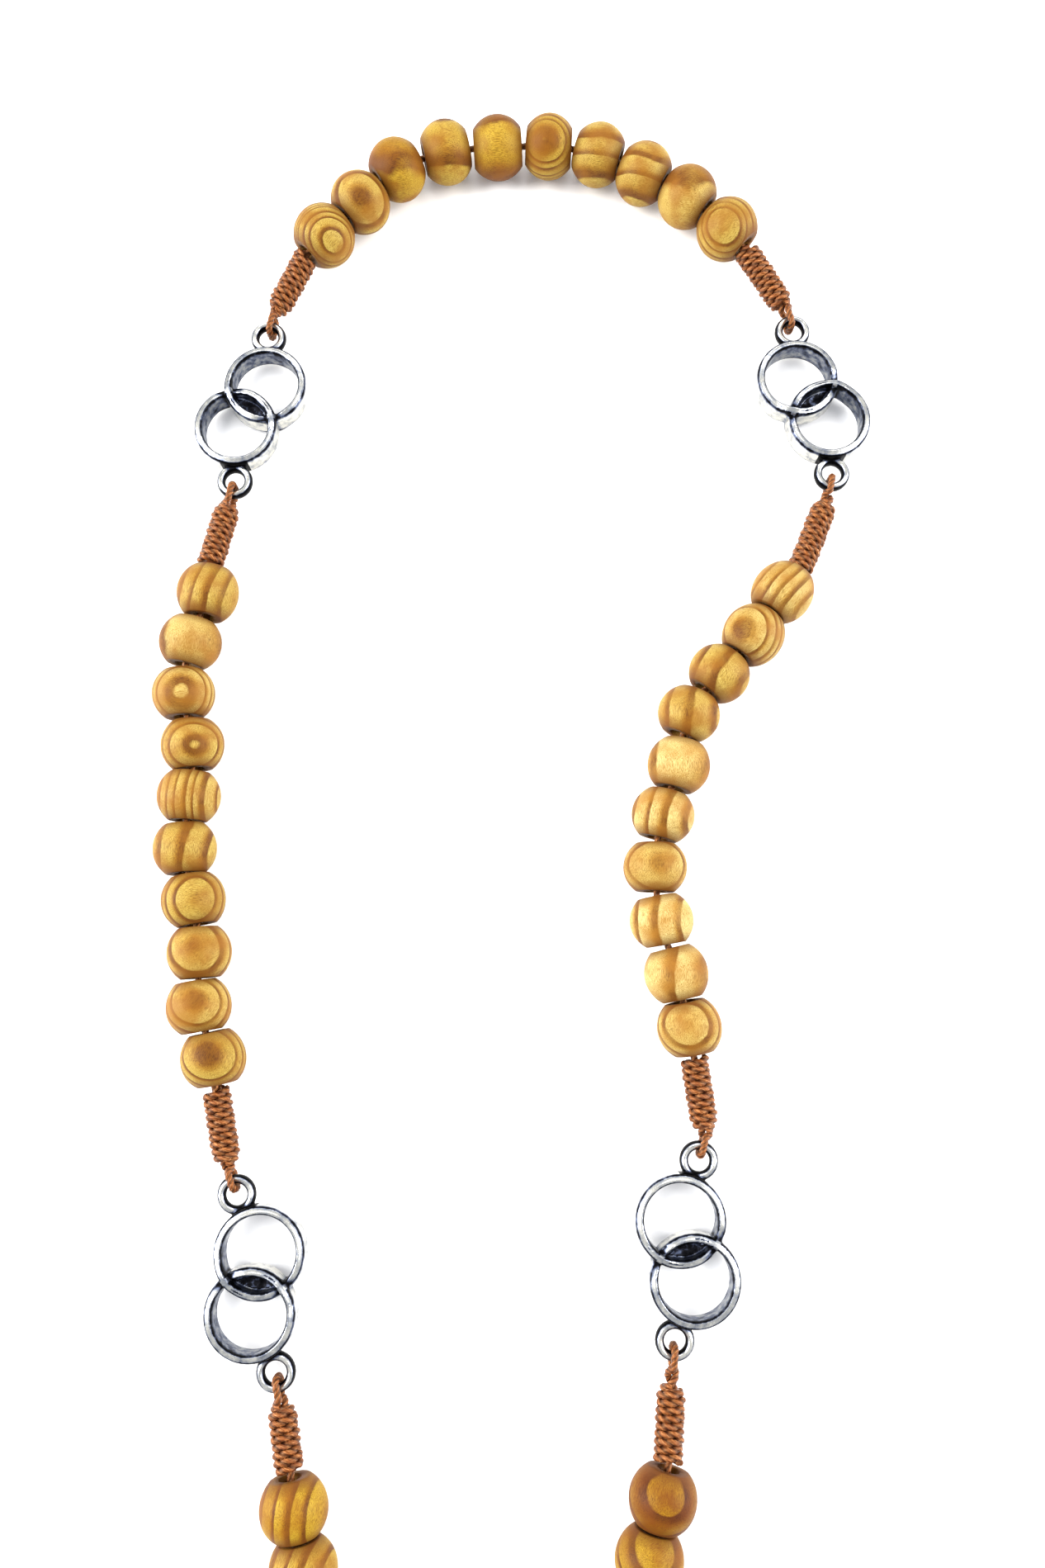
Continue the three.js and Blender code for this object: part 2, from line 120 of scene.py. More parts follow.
# The knots at the two ends of each cord: where each meets its bead, and its end towards the eyelet
KNOT_ROUTES = {
    "decade_3": [((-30.0, 100.0), (-34.1, 92.1)), ((30.8, 101.0), (36.3, 92.9))],
    "decade_2": [((-41.6, 55.4), (-39.4, 64.6)), ((-37.9, -12.2), (-36.2, -21.3))],
    "decade_4": [((36.9, 54.8), (40.9, 64.7)), ((21.3, -8.6), (22.6, -17.4))],
    "decade_1": [((-27.3, -55.8), (-28.9, -48.4)), ((-13.0, -122.2), (-10.0, -130.6))],
    "decade_5": [((17.2, -54.8), (17.8, -46.2)), ((3.0, -121.2), (0.9, -130.0))],
    "pendant": [((-4.7, -166.6), (-4.55, -157.7)), ((-4.4, -212.0), (-4.25, -220.8))],
}
KNOT_DROPS = (0.22, 0.78)
SINGLE_BEADS = {"decade_1": 5, "decade_5": 5}
SPACER_KNOTS = {"pendant": (0, 3)}
BODY_OF_STRAND = {
    "decade_3": "top_strand",
    "decade_2": "left_strand",
    "decade_4": "right_strand",
    "decade_1": "lower_loop",
    "decade_5": "lower_loop",
    "pendant": "pendant_strand",
}


def linear(hex_colour):
    """A colour written as an sRGB hex value, turned to the linear values that shaders take."""
    parts = [int(hex_colour[i:i + 2], 16) / 255 for i in (1, 3, 5)]
    return tuple(c / 12.92 if c <= 0.04045 else ((c + 0.055) / 1.055) ** 2.4 for c in parts) + (1,)


# The kinds of node that are used most
MATH = "ShaderNodeMath"
MIX = "ShaderNodeMix"
MAP_RANGE = "ShaderNodeMapRange"
NOISE = "ShaderNodeTexNoise"
ATTRIBUTE = "ShaderNodeAttribute"
STORE = "GeometryNodeStoreNamedAttribute"
SET_POSITION = "GeometryNodeSetPosition"


def set_inputs(tree, node, links):
    """Gives a node's inputs, by name or number, a value, a socket, or a node for its first output."""
    for name, value in links.items():
        socket = node.inputs[name]
        if isinstance(value, bpy.types.Node):
            value = value.outputs[0]
        if isinstance(value, bpy.types.NodeSocket):
            tree.links.new(value, socket)
        else:
            socket.default_value = value


def add_node(tree, kind, links=None, **settings):
    """Adds a node with its settings and links."""
    node = tree.nodes.new(kind)
    for name, value in settings.items():
        setattr(node, name, value)
    set_inputs(tree, node, links or {})
    return node


def add_object(name, data):
    """A new object, linked into the scene."""
    thing = bpy.data.objects.new(name, data)
    bpy.context.collection.objects.link(thing)
    return thing


# Camera

CAMERA_HEIGHT = 0.1595
CAMERA_TILT = math.radians(9.5)
SENSOR_WIDTH = 36
FOCAL_LENGTH = 28.246445
camera_data = bpy.data.cameras.new("camera")
camera_data.sensor_width = SENSOR_WIDTH
camera_data.lens = FOCAL_LENGTH
camera_data.clip_start = 0.005
camera_data.clip_end = 20
camera = add_object("camera", camera_data)
camera.location = (LAYOUT_SHIFT[0] * MM, LAYOUT_SHIFT[1] * MM, CAMERA_HEIGHT)
camera.rotation_euler = (CAMERA_TILT, 0, 0)
bpy.context.scene.camera = camera


# Geometry Nodes trees and how a finished piece is taken from them

def new_tree(name, inputs):
    """A geometry tree with named inputs, and its group input and output nodes."""
    tree = bpy.data.node_groups.new(name, "GeometryNodeTree")
    tree.interface.new_socket("Geometry", in_out="OUTPUT", socket_type="NodeSocketGeometry")
    tree.interface.new_socket("Geometry", in_out="INPUT", socket_type="NodeSocketGeometry")
    for label, kind in inputs:
        tree.interface.new_socket(label, in_out="INPUT", socket_type="NodeSocket" + kind)
    return tree, add_node(tree, "NodeGroupInput"), add_node(tree, "NodeGroupOutput")


def finish_tree(tree, output, geometry, material):
    """Ends a tree in real geometry with its material."""
    real = add_node(tree, "GeometryNodeRealizeInstances", {"Geometry": geometry})
    dressed = add_node(tree, "GeometryNodeSetMaterial", {"Geometry": real, "Material": material})
    set_inputs(tree, output, {0: dressed})


def taken_mesh(carrier):
    """The plain mesh that an object's modifiers give. The object and its own mesh are removed."""
    own_mesh = carrier.data
    graph = bpy.context.evaluated_depsgraph_get()
    evaluated = carrier.evaluated_get(graph)
    mesh = bpy.data.meshes.new_from_object(evaluated, preserve_all_data_layers=True, depsgraph=graph)
    bpy.data.objects.remove(carrier)
    bpy.data.meshes.remove(own_mesh)
    return mesh


def grown_mesh(tree, values, verts=(), edges=()):
    """The mesh that a tree makes from a polyline, or from nothing, with the given inputs."""
    seed_mesh = bpy.data.meshes.new("seed")
    seed_mesh.from_pydata([tuple(v) for v in verts], list(edges), [])
    carrier = add_object("carrier", seed_mesh)
    modifier = carrier.modifiers.new("grow", "NODES")
    modifier.node_group = tree
    for item in tree.interface.items_tree:
        if item.in_out == "INPUT" and item.name in values:
            modifier[item.identifier] = values[item.name]
    return taken_mesh(carrier)


def placed(name, mesh, body, nodes):
    """A finished piece at the origin, riding on its body and standing for its CAD nodes."""
    mesh.name = name
    piece = add_object(name, mesh)
    if nodes:
        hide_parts(*nodes)
    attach(piece, body)
    return piece


# Materials

def new_material(name):
    """A material, its node tree and its surface shader."""
    material = bpy.data.materials.new(name)
    material.use_nodes = True
    tree = material.node_tree
    return material, tree, tree.nodes["Principled BSDF"]


def paint_ramp(ramp, stops):
    """Sets a colour ramp's stops from places and hex colours."""
    elements = ramp.color_ramp.elements
    while len(elements) < len(stops):
        elements.new(0.5)
    for element, (place, colour) in zip(elements, stops):
        element.position = place
        element.color = linear(colour)


def turned_pine():
    """Turned pine under satin varnish. Rings show as eyes, arcs or stripes by how each bead was cut."""
    material, tree, shader = new_material("turned pine, satin varnish")
    labels = ("grain", "tone", "rings", "ends")
    place, tone, rings, ends = (add_node(tree, ATTRIBUTE, attribute_name=label) for label in labels)
    sway = add_node(tree, NOISE, {"Vector": place.outputs["Vector"], "Scale": 0.16, "Detail": 3.0})
    # rings are not evenly wide: the count is shifted by a noise that only follows the distance from the heart
    uneven = add_node(tree, NOISE, {"W": rings.outputs["Fac"], "Scale": 0.8, "Detail": 0.0},
                      noise_dimensions="1D")
    swayed = add_node(tree, MATH, {0: sway, 1: 0.45, 2: rings.outputs["Fac"]},
                      operation="MULTIPLY_ADD")
    shifted = add_node(tree, MATH, {0: uneven, 1: 0.5, 2: swayed}, operation="MULTIPLY_ADD")
    ring = add_node(tree, MATH, {0: shifted}, operation="FRACT")
    wood = add_node(tree, "ShaderNodeValToRGB", {"Fac": ring})
    paint_ramp(wood, [
        (0.0, "#EFD092"), (0.46, "#E3BD7A"), (0.64, "#C59248"), (0.76, "#99621E"), (0.93, "#8A5514"),
        (0.985, "#E8C686")])

    # some rings are faint, so their dark part fades into the pale wood along the bead
    fade = add_node(tree, NOISE, {"Vector": place.outputs["Vector"], "Scale": 0.25, "Detail": 1.0})
    fade_share = add_node(tree, MAP_RANGE, {0: fade, 1: 0.52, 2: 0.75, 3: 0.0, 4: 0.6})
    faded = add_node(tree, MIX, {0: fade_share, 6: wood, 7: linear("#CFA156")}, data_type="RGBA")

    stretch = add_node(tree, "ShaderNodeMapping", {
        "Vector": place.outputs["Vector"], "Scale": (3.4, 3.4, 0.32)})
    fibre = add_node(tree, NOISE, {"Vector": stretch, "Detail": 5.0, "Roughness": 0.7})
    fibre_tint = add_node(tree, "ShaderNodeValToRGB", {"Fac": fibre})
    paint_ramp(fibre_tint, [(0.38, "#7E5E32"), (0.49, "#DCCBA8"), (0.6, "#FFFFFF")])
    fibred = add_node(tree, MIX, {0: 0.85, 6: faded.outputs[2], 7: fibre_tint},
                      data_type="RGBA", blend_type="MULTIPLY")

    patch = add_node(tree, NOISE, {"Vector": place.outputs["Vector"], "Scale": 0.3, "Detail": 2.0})
    patch_share = add_node(tree, MAP_RANGE, {0: patch, 1: 0.44, 2: 0.66, 3: 0.0, 4: 0.7})
    ambered = add_node(tree, MIX, {0: patch_share, 6: fibred.outputs[2], 7: linear("#A96A22")},
                       data_type="RGBA")
    tone_ramp = add_node(tree, "ShaderNodeValToRGB", {"Fac": tone.outputs["Fac"]})
    paint_ramp(tone_ramp, [
        (0.0, "#90741B"), (0.2, "#B4AC4C"), (0.4, "#BABC88"), (0.6, "#C2C49C"), (0.8, "#CED8CC"),
        (1.0, "#DAE8E6")])
    toned = add_node(tree, MIX, {0: 1.0, 6: ambered.outputs[2], 7: tone_ramp},
                     data_type="RGBA", blend_type="MULTIPLY")
    # the ends are browner: varnish pools and soaks in on the end grain round the hole, and the brown also
    # paints the shade where neighbouring beads meet
    end_share = add_node(tree, MAP_RANGE, {0: ends.outputs["Fac"], 1: 0.62, 2: 1.0, 3: 0.0, 4: 0.8})
    ends_browned_and_shaded = add_node(tree, MIX, {0: end_share, 6: toned.outputs[2], 7: linear("#5C3410")}, data_type="RGBA")

    height = add_node(tree, MATH, {0: ring, 1: fibre}, operation="ADD")
    bump = add_node(tree, "ShaderNodeBump", {"Height": height, "Strength": 0.15, "Distance": 0.05 * MM})
    gloss = add_node(tree, MAP_RANGE, {0: fibre, 1: 0.3, 2: 0.7, 3: 0.62, 4: 0.48})
    set_inputs(tree, shader, {
        "Base Color": ends_browned_and_shaded.outputs[2], "Normal": bump, "Roughness": gloss, "IOR": 1.5,
        "Specular IOR Level": 0.14})
    return material


def satin_cord():
    """Twisted nylon cord with a satin lustre. Fine filaments along each ply streak its colour; the pale
    streaks are painted highlights, and the valleys between plies carry painted shade.
    """
    material, tree, shader = new_material("twisted nylon cord, satin lustre")
    labels = ("along", "around", "valley")
    along, around, valley = (add_node(tree, ATTRIBUTE, attribute_name=label) for label in labels)
    place = add_node(tree, "ShaderNodeCombineXYZ", {
        0: along.outputs["Fac"], 1: around.outputs["Fac"], 2: 0.0})
    stretched = add_node(tree, "ShaderNodeMapping", {
        "Vector": place, "Scale": (1.3, 22.0, 1.0), "Rotation": (0, 0, 0.25)})
    filament = add_node(tree, NOISE, {"Vector": stretched, "Scale": 1.0, "Detail": 4.0, "Roughness": 0.7})
    # filament colour streaks along each ply; the pale stops paint the satin highlight streaks
    colour = add_node(tree, "ShaderNodeValToRGB", {"Fac": filament})
    paint_ramp(colour, [(0.3, "#260D05"), (0.43, "#58280C"), (0.56, "#98582A"), (0.68, "#EBB478")])
    patch = add_node(tree, NOISE, {"Vector": place, "Scale": 0.9, "Detail": 1.0})
    patch_share = add_node(tree, MAP_RANGE, {0: patch, 1: 0.45, 2: 0.7, 3: 0.0, 4: 0.5})
    varied = add_node(tree, MIX, {0: patch_share, 6: colour, 7: linear("#5E3226")}, data_type="RGBA")
    # painted shade in the valleys between the plies
    shaded = add_node(tree, MIX, {0: valley.outputs["Fac"], 6: varied.outputs[2], 7: linear("#240E0B")},
                      data_type="RGBA")
    bump = add_node(tree, "ShaderNodeBump", {
        "Height": filament, "Strength": 0.6, "Distance": 0.06 * MM})
    set_inputs(tree, shader, {
        "Base Color": shaded.outputs[2], "Normal": bump, "Roughness": 0.34, "Specular IOR Level": 0.8,
        "Specular Tint": linear("#F0B07A")})
    return material


def antique_silver():
    """Cast and antiqued silver plate: worn bright on the rims by rubbing, with black oxide left in the
    hollows. Its colour also carries painted highlights, a painted bluish reflection and painted dark edges.
    """
    material, tree, shader = new_material("cast silver plate, antiqued and rubbed")
    wear_and_painted_light = add_node(tree, ATTRIBUTE, attribute_name="rubbed_and_painted_light")
    place = add_node(tree, "ShaderNodeTexCoord")
    mottle = add_node(tree, NOISE, {
        "Vector": place.outputs["Object"], "Scale": 1 / (1.1 * MM), "Detail": 5.0, "Roughness": 0.6})
    offset = add_node(tree, MATH, {0: mottle, 1: 0.5}, operation="SUBTRACT")
    spread = add_node(tree, MATH, {0: offset, 1: 1.1, 2: wear_and_painted_light.outputs["Fac"]}, operation="MULTIPLY_ADD")
    # dark stops: black oxide in the hollows and painted dark edges; bluish grey stop: painted reflection;
    # pale stops: silver worn bright by rubbing and painted highlights
    colour = add_node(tree, "ShaderNodeValToRGB", {"Fac": spread})
    paint_ramp(colour, [
        (0.12, "#08080A"), (0.28, "#1C1C20"), (0.44, "#565E74"), (0.62, "#9C9E9F"), (0.84, "#D8D5CA")])
    dull = add_node(tree, MAP_RANGE, {0: spread, 1: 0.2, 2: 0.8, 3: 0.5, 4: 0.22})
    grain = add_node(tree, NOISE, {"Vector": place.outputs["Object"], "Scale": 1 / (0.5 * MM), "Detail": 3.0})
    bump = add_node(tree, "ShaderNodeBump", {
        "Height": grain, "Strength": 0.2, "Distance": 0.05 * MM})
    set_inputs(tree, shader, {"Base Color": colour, "Metallic": 1.0, "Roughness": dull, "Normal": bump})
    return material


def inlay_pine():
    """Thin pine panel, oiled: straight grain along the cross with darker latewood lines."""
    material, tree, shader = new_material("pine panel, oiled")
    place = add_node(tree, "ShaderNodeTexCoord")
    stretch = add_node(tree, "ShaderNodeMapping", {
        "Vector": place.outputs["Object"], "Scale": (1 / MM, 0.07 / MM, 1 / MM)})
    wave = add_node(tree, NOISE, {"Vector": stretch, "Scale": 1.1, "Detail": 6.0, "Roughness": 0.6})
    wood = add_node(tree, "ShaderNodeValToRGB", {"Fac": wave})
    paint_ramp(wood, [(0.3, "#5C3818"), (0.45, "#7E542A"), (0.56, "#9A713C"), (0.75, "#AE8850")])
    bump = add_node(tree, "ShaderNodeBump", {
        "Height": wave, "Strength": 0.25, "Distance": 0.05 * MM})
    set_inputs(tree, shader, {"Base Color": wood, "Normal": bump, "Roughness": 0.48})
    return material


PINE = turned_pine()
CORD = satin_cord()
SILVER = antique_silver()
INLAY = inlay_pine()


# Cords

def laid_cord_tree():
    """A plied cord laid along a polyline: a lobed section that turns as it goes."""
    tree, group, output = new_tree("laid cord", [
        ("Radius", "Float"), ("Lay", "Float"), ("Ply Depth", "Float"), ("Lobes", "Float")])
    line = add_node(tree, "GeometryNodeMeshToCurve", {0: group.outputs["Geometry"]})
    place = add_node(tree, "GeometryNodeSplineParameter")
    turns = add_node(tree, MATH, {0: place.outputs["Length"], 1: group.outputs["Lay"]}, operation="DIVIDE")
    tilt = add_node(tree, MATH, {0: turns, 1: 2 * math.pi}, operation="MULTIPLY")
    in_mm = add_node(tree, MATH, {0: place.outputs["Length"], 1: 1 / MM}, operation="MULTIPLY")
    tagged = add_node(tree, STORE, {0: line, "Name": "along", "Value": in_mm},
                      data_type="FLOAT", domain="POINT")
    turned_line = add_node(tree, "GeometryNodeSetCurveTilt", {0: tagged, "Tilt": tilt})

    circle = add_node(tree, "GeometryNodeCurvePrimitiveCircle", {
        "Resolution": 18, "Radius": group.outputs["Radius"]})
    section_place = add_node(tree, "GeometryNodeSplineParameter")
    lobe_turn = add_node(tree, MATH, {0: section_place.outputs["Factor"], 1: group.outputs["Lobes"]},
                         operation="MULTIPLY")
    wave = add_node(tree, MATH, {0: lobe_turn}, operation="SINE")
    lobe = add_node(tree, MATH, {0: wave}, operation="ABSOLUTE")
    hollow = add_node(tree, MATH, {0: 1.0, 1: lobe}, operation="SUBTRACT")
    shrink = add_node(tree, MATH, {0: hollow, 1: group.outputs["Ply Depth"]}, operation="MULTIPLY")
    keep = add_node(tree, MATH, {0: 1.0, 1: shrink}, operation="SUBTRACT")
    at = add_node(tree, "GeometryNodeInputPosition")
    scaled = add_node(tree, "ShaderNodeVectorMath", {0: at, 3: keep}, operation="SCALE")
    lobed = add_node(tree, SET_POSITION, {0: circle, "Position": scaled})
    section = add_node(tree, STORE, {
        0: lobed, "Name": "around", "Value": section_place.outputs["Factor"]},
        data_type="FLOAT", domain="POINT")
    # how deep each point lies in a valley between plies, used by the cord's colour for painted shade
    hollowed = add_node(tree, MATH, {0: hollow, 1: 0.85}, operation="POWER")
    section = add_node(tree, STORE, {
        0: section, "Name": "valley", "Value": hollowed}, data_type="FLOAT", domain="POINT")
    tube = add_node(tree, "GeometryNodeCurveToMesh", {
        "Curve": turned_line, "Profile Curve": section, "Fill Caps": True})
    smooth = add_node(tree, "GeometryNodeSetShadeSmooth", {0: tube})
    finish_tree(tree, output, smooth, CORD)
    return tree


LAID_CORD = laid_cord_tree()


def smooth_route(points, step):
    """Points along a Catmull-Rom curve through the given ones, about a step apart."""
    ends = [2 * points[0] - points[1]] + points + [2 * points[-1] - points[-2]]
    route = []
    for i in range(1, len(ends) - 2):
        p0, p1, p2, p3 = ends[i - 1:i + 3]
        count = max(2, math.ceil((p2 - p1).length / step))
        for k in range(count):
            t = k / count
            route.append(0.5 * (2 * p1 + (p2 - p0) * t + (2 * p0 - 5 * p1 + 4 * p2 - p3) * t ** 2
                                + (3 * p1 - p0 - 3 * p2 + p3) * t ** 3))
    return route + [points[-1]]


def laid_cord(points, radius=CORD_DIAMETER / 2, lay=3.2, depth=0.2, plies=3):
    """The mesh of a laid cord through points in millimetres. A lay below nought twists the other way."""
    verts = [point * MM for point in points]
    edges = [(i, i + 1) for i in range(len(verts) - 1)]
    values = {"Radius": radius * MM, "Lay": lay * MM, "Ply Depth": depth, "Lobes": plies * math.pi}
    return grown_mesh(LAID_CORD, values, verts, edges)


def mesh_from(bm, name, materials=()):
    """A mesh with the shape of a bmesh, which is freed."""
    mesh = bpy.data.meshes.new(name)
    for material in materials:
        mesh.materials.append(material)
    bm.to_mesh(mesh)
    bm.free()
    return mesh


def joined(meshes):
    """One mesh from several, which are removed."""
    bm = bmesh.new()
    for mesh in meshes:
        bm.from_mesh(mesh)
    result = mesh_from(bm, "joined", meshes[0].materials)
    for mesh in meshes:
        bpy.data.meshes.remove(mesh)
    return result


def across(direction):
    """Two unit directions square to the given one, the first as near upright as can be."""
    side = direction.cross(Vector((0, 0, 1))).normalized()
    return side.cross(direction).normalized(), side


def knot_wraps(near, far, length, taper_both):
    """The cord wound round itself from the far end to the near one, drawn in at the far end or at both."""
    axis = (near - far).normalized()
    up, side = across(axis)
    wraps = (length - CORD_DIAMETER) / WRAP_PITCH
    coil_radius = (KNOT_DIAMETER - CORD_DIAMETER) / 2
    steps = int(wraps * STEPS_PER_WRAP)
    points = []
    for i in range(steps + 1):
        t = i / steps
        angle = 2 * math.pi * wraps * t
        slim = 1 - 0.42 * max(0, 1 - t * wraps / 1.6) ** 1.5
        if taper_both:
            slim *= 1 - 0.3 * max(0, 1 - (1 - t) * wraps / 1.1) ** 1.5
        wobble = 1 + 0.035 * math.sin(angle * 0.37 + near.x) + 0.02 * math.sin(angle * 0.91 + near.y)
        reach = coil_radius * slim * wobble
        centre = far + axis * (CORD_DIAMETER / 2 + (length - CORD_DIAMETER) * t)
        points.append(centre + up * (reach * math.cos(angle)) + side * (reach * math.sin(angle)))
    return points


def eyelet_strands(eyelet, far):
    """The two strands of the loop: over and under the eyelet's rim, then twisted together into the knot."""
    in_hole = EYELET_HOLE - CORD_DIAMETER / 2 - LOOP_GAP_IN_HOLE
    over = EYELET_THICKNESS / 2 + CORD_DIAMETER / 2 + LOOP_GAP_OVER
    flat = Vector((far.x - eyelet.x, far.y - eyelet.y, 0))
    reach = flat.length
    along = flat.normalized()
    side = along.cross(Vector((0, 0, 1)))
    rise = far.z - eyelet.z
    twist_start = EYELET_OUTER + 0.5
    twist_length = 3.6
    end = reach + 1.6
    count = max(4, int((end - twist_start) / 0.3))
    strands = []
    for sign in (1, -1):
        points = [
            eyelet + along * in_hole,
            eyelet + along * (in_hole + 0.02) + Vector((0, 0, sign * over * 0.55)),
            eyelet + along * (in_hole + 0.4) + Vector((0, 0, sign * over * 0.95)),
            eyelet + along * EYELET_MIDDLE + Vector((0, 0, sign * over)),
        ]
        for i in range(count + 1):
            twisted = (end - twist_start) * i / count
            distance = twist_start + twisted
            angle = 2 * math.pi * twisted / twist_length
            spread = LOOP_RADIUS + (over * 0.75 - LOOP_RADIUS) * max(0, 1 - twisted / 0.9) ** 2
            share = min(1, distance / reach)
            centre = eyelet + along * distance + Vector((0, 0, rise * share))
            aside = Vector((0, 0, spread * math.cos(angle))) + side * (spread * math.sin(angle))
            points.append(centre + sign * aside)
        strands.append(smooth_route(points, LOOP_STEP))
    return strands


def knot_piece(name, eyelet, near, far, body):
    """A whole knot: its core, its wraps and its loop."""
    length = (near - far).length
    core = [far + (near - far) * (0.08 + 0.84 * i / 10) for i in range(11)]
    wraps = knot_wraps(near, far, length, eyelet is None)
    parts = [
        laid_cord(core, radius=KNOT_CORE_RADIUS, depth=0.05),
        laid_cord(wraps, lay=WRAP_LAY, depth=WRAP_PLY_DEPTH, plies=2)]
    if eyelet is not None:
        strands = eyelet_strands(eyelet, far)
        parts += [laid_cord(strand, radius=LOOP_RADIUS, lay=LOOP_LAY) for strand in strands]
    return placed(name, joined(parts), body, ())


def hole_axis(before, here, after):
    """The direction of a bead's hole, from the places of the points before and after it."""
    return ((here - before).normalized() + (after - here).normalized()).normalized()


def layout_point(x, y, z):
    """A point of the layout in the frame of the solids, in mm."""
    return Vector((x + LAYOUT_SHIFT[0], y + LAYOUT_SHIFT[1], z))


def joint_place(name):
    """A joint's place in mm and its direction."""
    return Vector(JOINTS[name]["pos_m"]) / MM, Vector(JOINTS[name]["axis"]).normalized()


def connector_eyelets(name):
    """The middles of a connector's eyelets, from the joint that it rolls about."""
    centre, heading = joint_place("ring_roll_" + name)
    return [centre + heading * (end * EYELET_SPAN / 2) for end in (-1, 1)]


MEDAL_LOW, MEDAL_HIGH = (Vector(corner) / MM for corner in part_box("centrepiece"))
MEDAL_X = (MEDAL_LOW.x + MEDAL_HIGH.x) / 2
MEDAL_TOP = MEDAL_HIGH.y - EYELET_OUTER
MEDAL_EYELETS = [Vector((MEDAL_X + aside, MEDAL_TOP, EYELET_HEIGHT)) for aside in (-4.6, 4.6)]
MEDAL_EYELETS.append(joint_place("pendant_swing")[0])
CROSS_EYELET = joint_place("cross_swing")[0]
CONNECTORS = ("upper_left", "upper_right", "lower_left", "lower_right")
EYELETS = {name: connector_eyelets(name) for name in CONNECTORS}
STRAND_ENDS = {
    "decade_3": (EYELETS["upper_left"][0], EYELETS["upper_right"][0]),
    "decade_2": (EYELETS["upper_left"][1], EYELETS["lower_left"][0]),
    "decade_4": (EYELETS["upper_right"][1], EYELETS["lower_right"][0]),
    "decade_1": (EYELETS["lower_left"][1], MEDAL_EYELETS[0]),
    "decade_5": (EYELETS["lower_right"][1], MEDAL_EYELETS[1]),
    "pendant": (MEDAL_EYELETS[2], CROSS_EYELET),
}


def bead_diameter(strand):
    """The diameter of a strand's beads."""
    return TOP_BEAD_DIAMETER if strand == "decade_3" else SIDE_BEAD_DIAMETER


def knot_ends(points, height):
    """A knot's two ends, which step down from the beads' height towards the eyelet's."""
    heights = [height + (EYELET_HEIGHT - height) * drop for drop in KNOT_DROPS]
    return [layout_point(x, y, z) for (x, y), z in zip(points, heights)]


def make_strand_cord(strand):
    """A strand's cord through its beads, with its knots and loops. Gives its beads' centres and axes."""
    body = BODY_OF_STRAND[strand]
    height = bead_diameter(strand) / 2
    centres = [layout_point(x, y, height) for x, y in BEAD_ROUTES[strand]]
    upper, lower = (knot_ends(points, height) for points in KNOT_ROUTES[strand])
    stops = [upper[0]] + centres + [lower[0]]
    axes = [hole_axis(stops[i], stops[i + 1], stops[i + 2]) for i in range(len(centres))]
    into_upper, into_lower = (near.lerp(far, INTO_KNOT) for near, far in (upper, lower))
    route = smooth_route([into_upper] + stops + [into_lower], ROUTE_STEP)
    cord = placed(strand + "_cord_run", laid_cord(route), body, [strand + "_cord"])
    beads = (centres[0], centres[-1])
    names = ("upper", "lower")
    for name, eyelet, bead, (near, far) in zip(names, STRAND_ENDS[strand], beads, (upper, lower)):
        on_bead = bead + (near - bead).normalized() * (BEAD_LENGTH / 2 + KNOT_GAP)
        knot_piece(f"{strand}_{name}_knot", eyelet, on_bead, far, body)
    for i in SPACER_KNOTS.get(strand, ()):
        middle = (centres[i] + centres[i + 1]) / 2
        half = (centres[i + 1] - centres[i]).normalized() * SHORT_KNOT_LENGTH / 2
        knot_piece(f"{strand}_spacer_{i + 1}", None, middle + half, middle - half, body)
    length = sum((b - a).length for a, b in zip(route, route[1:])) * MM
    return centres, axes


STRANDS = {strand: make_strand_cord(strand) for strand in BEAD_ROUTES}


# Beads

# How far from the middle of the grid, which is one long, a bead's outside and its flat faces end
OUTSIDE_END = 0.38
FACE_END = 0.44


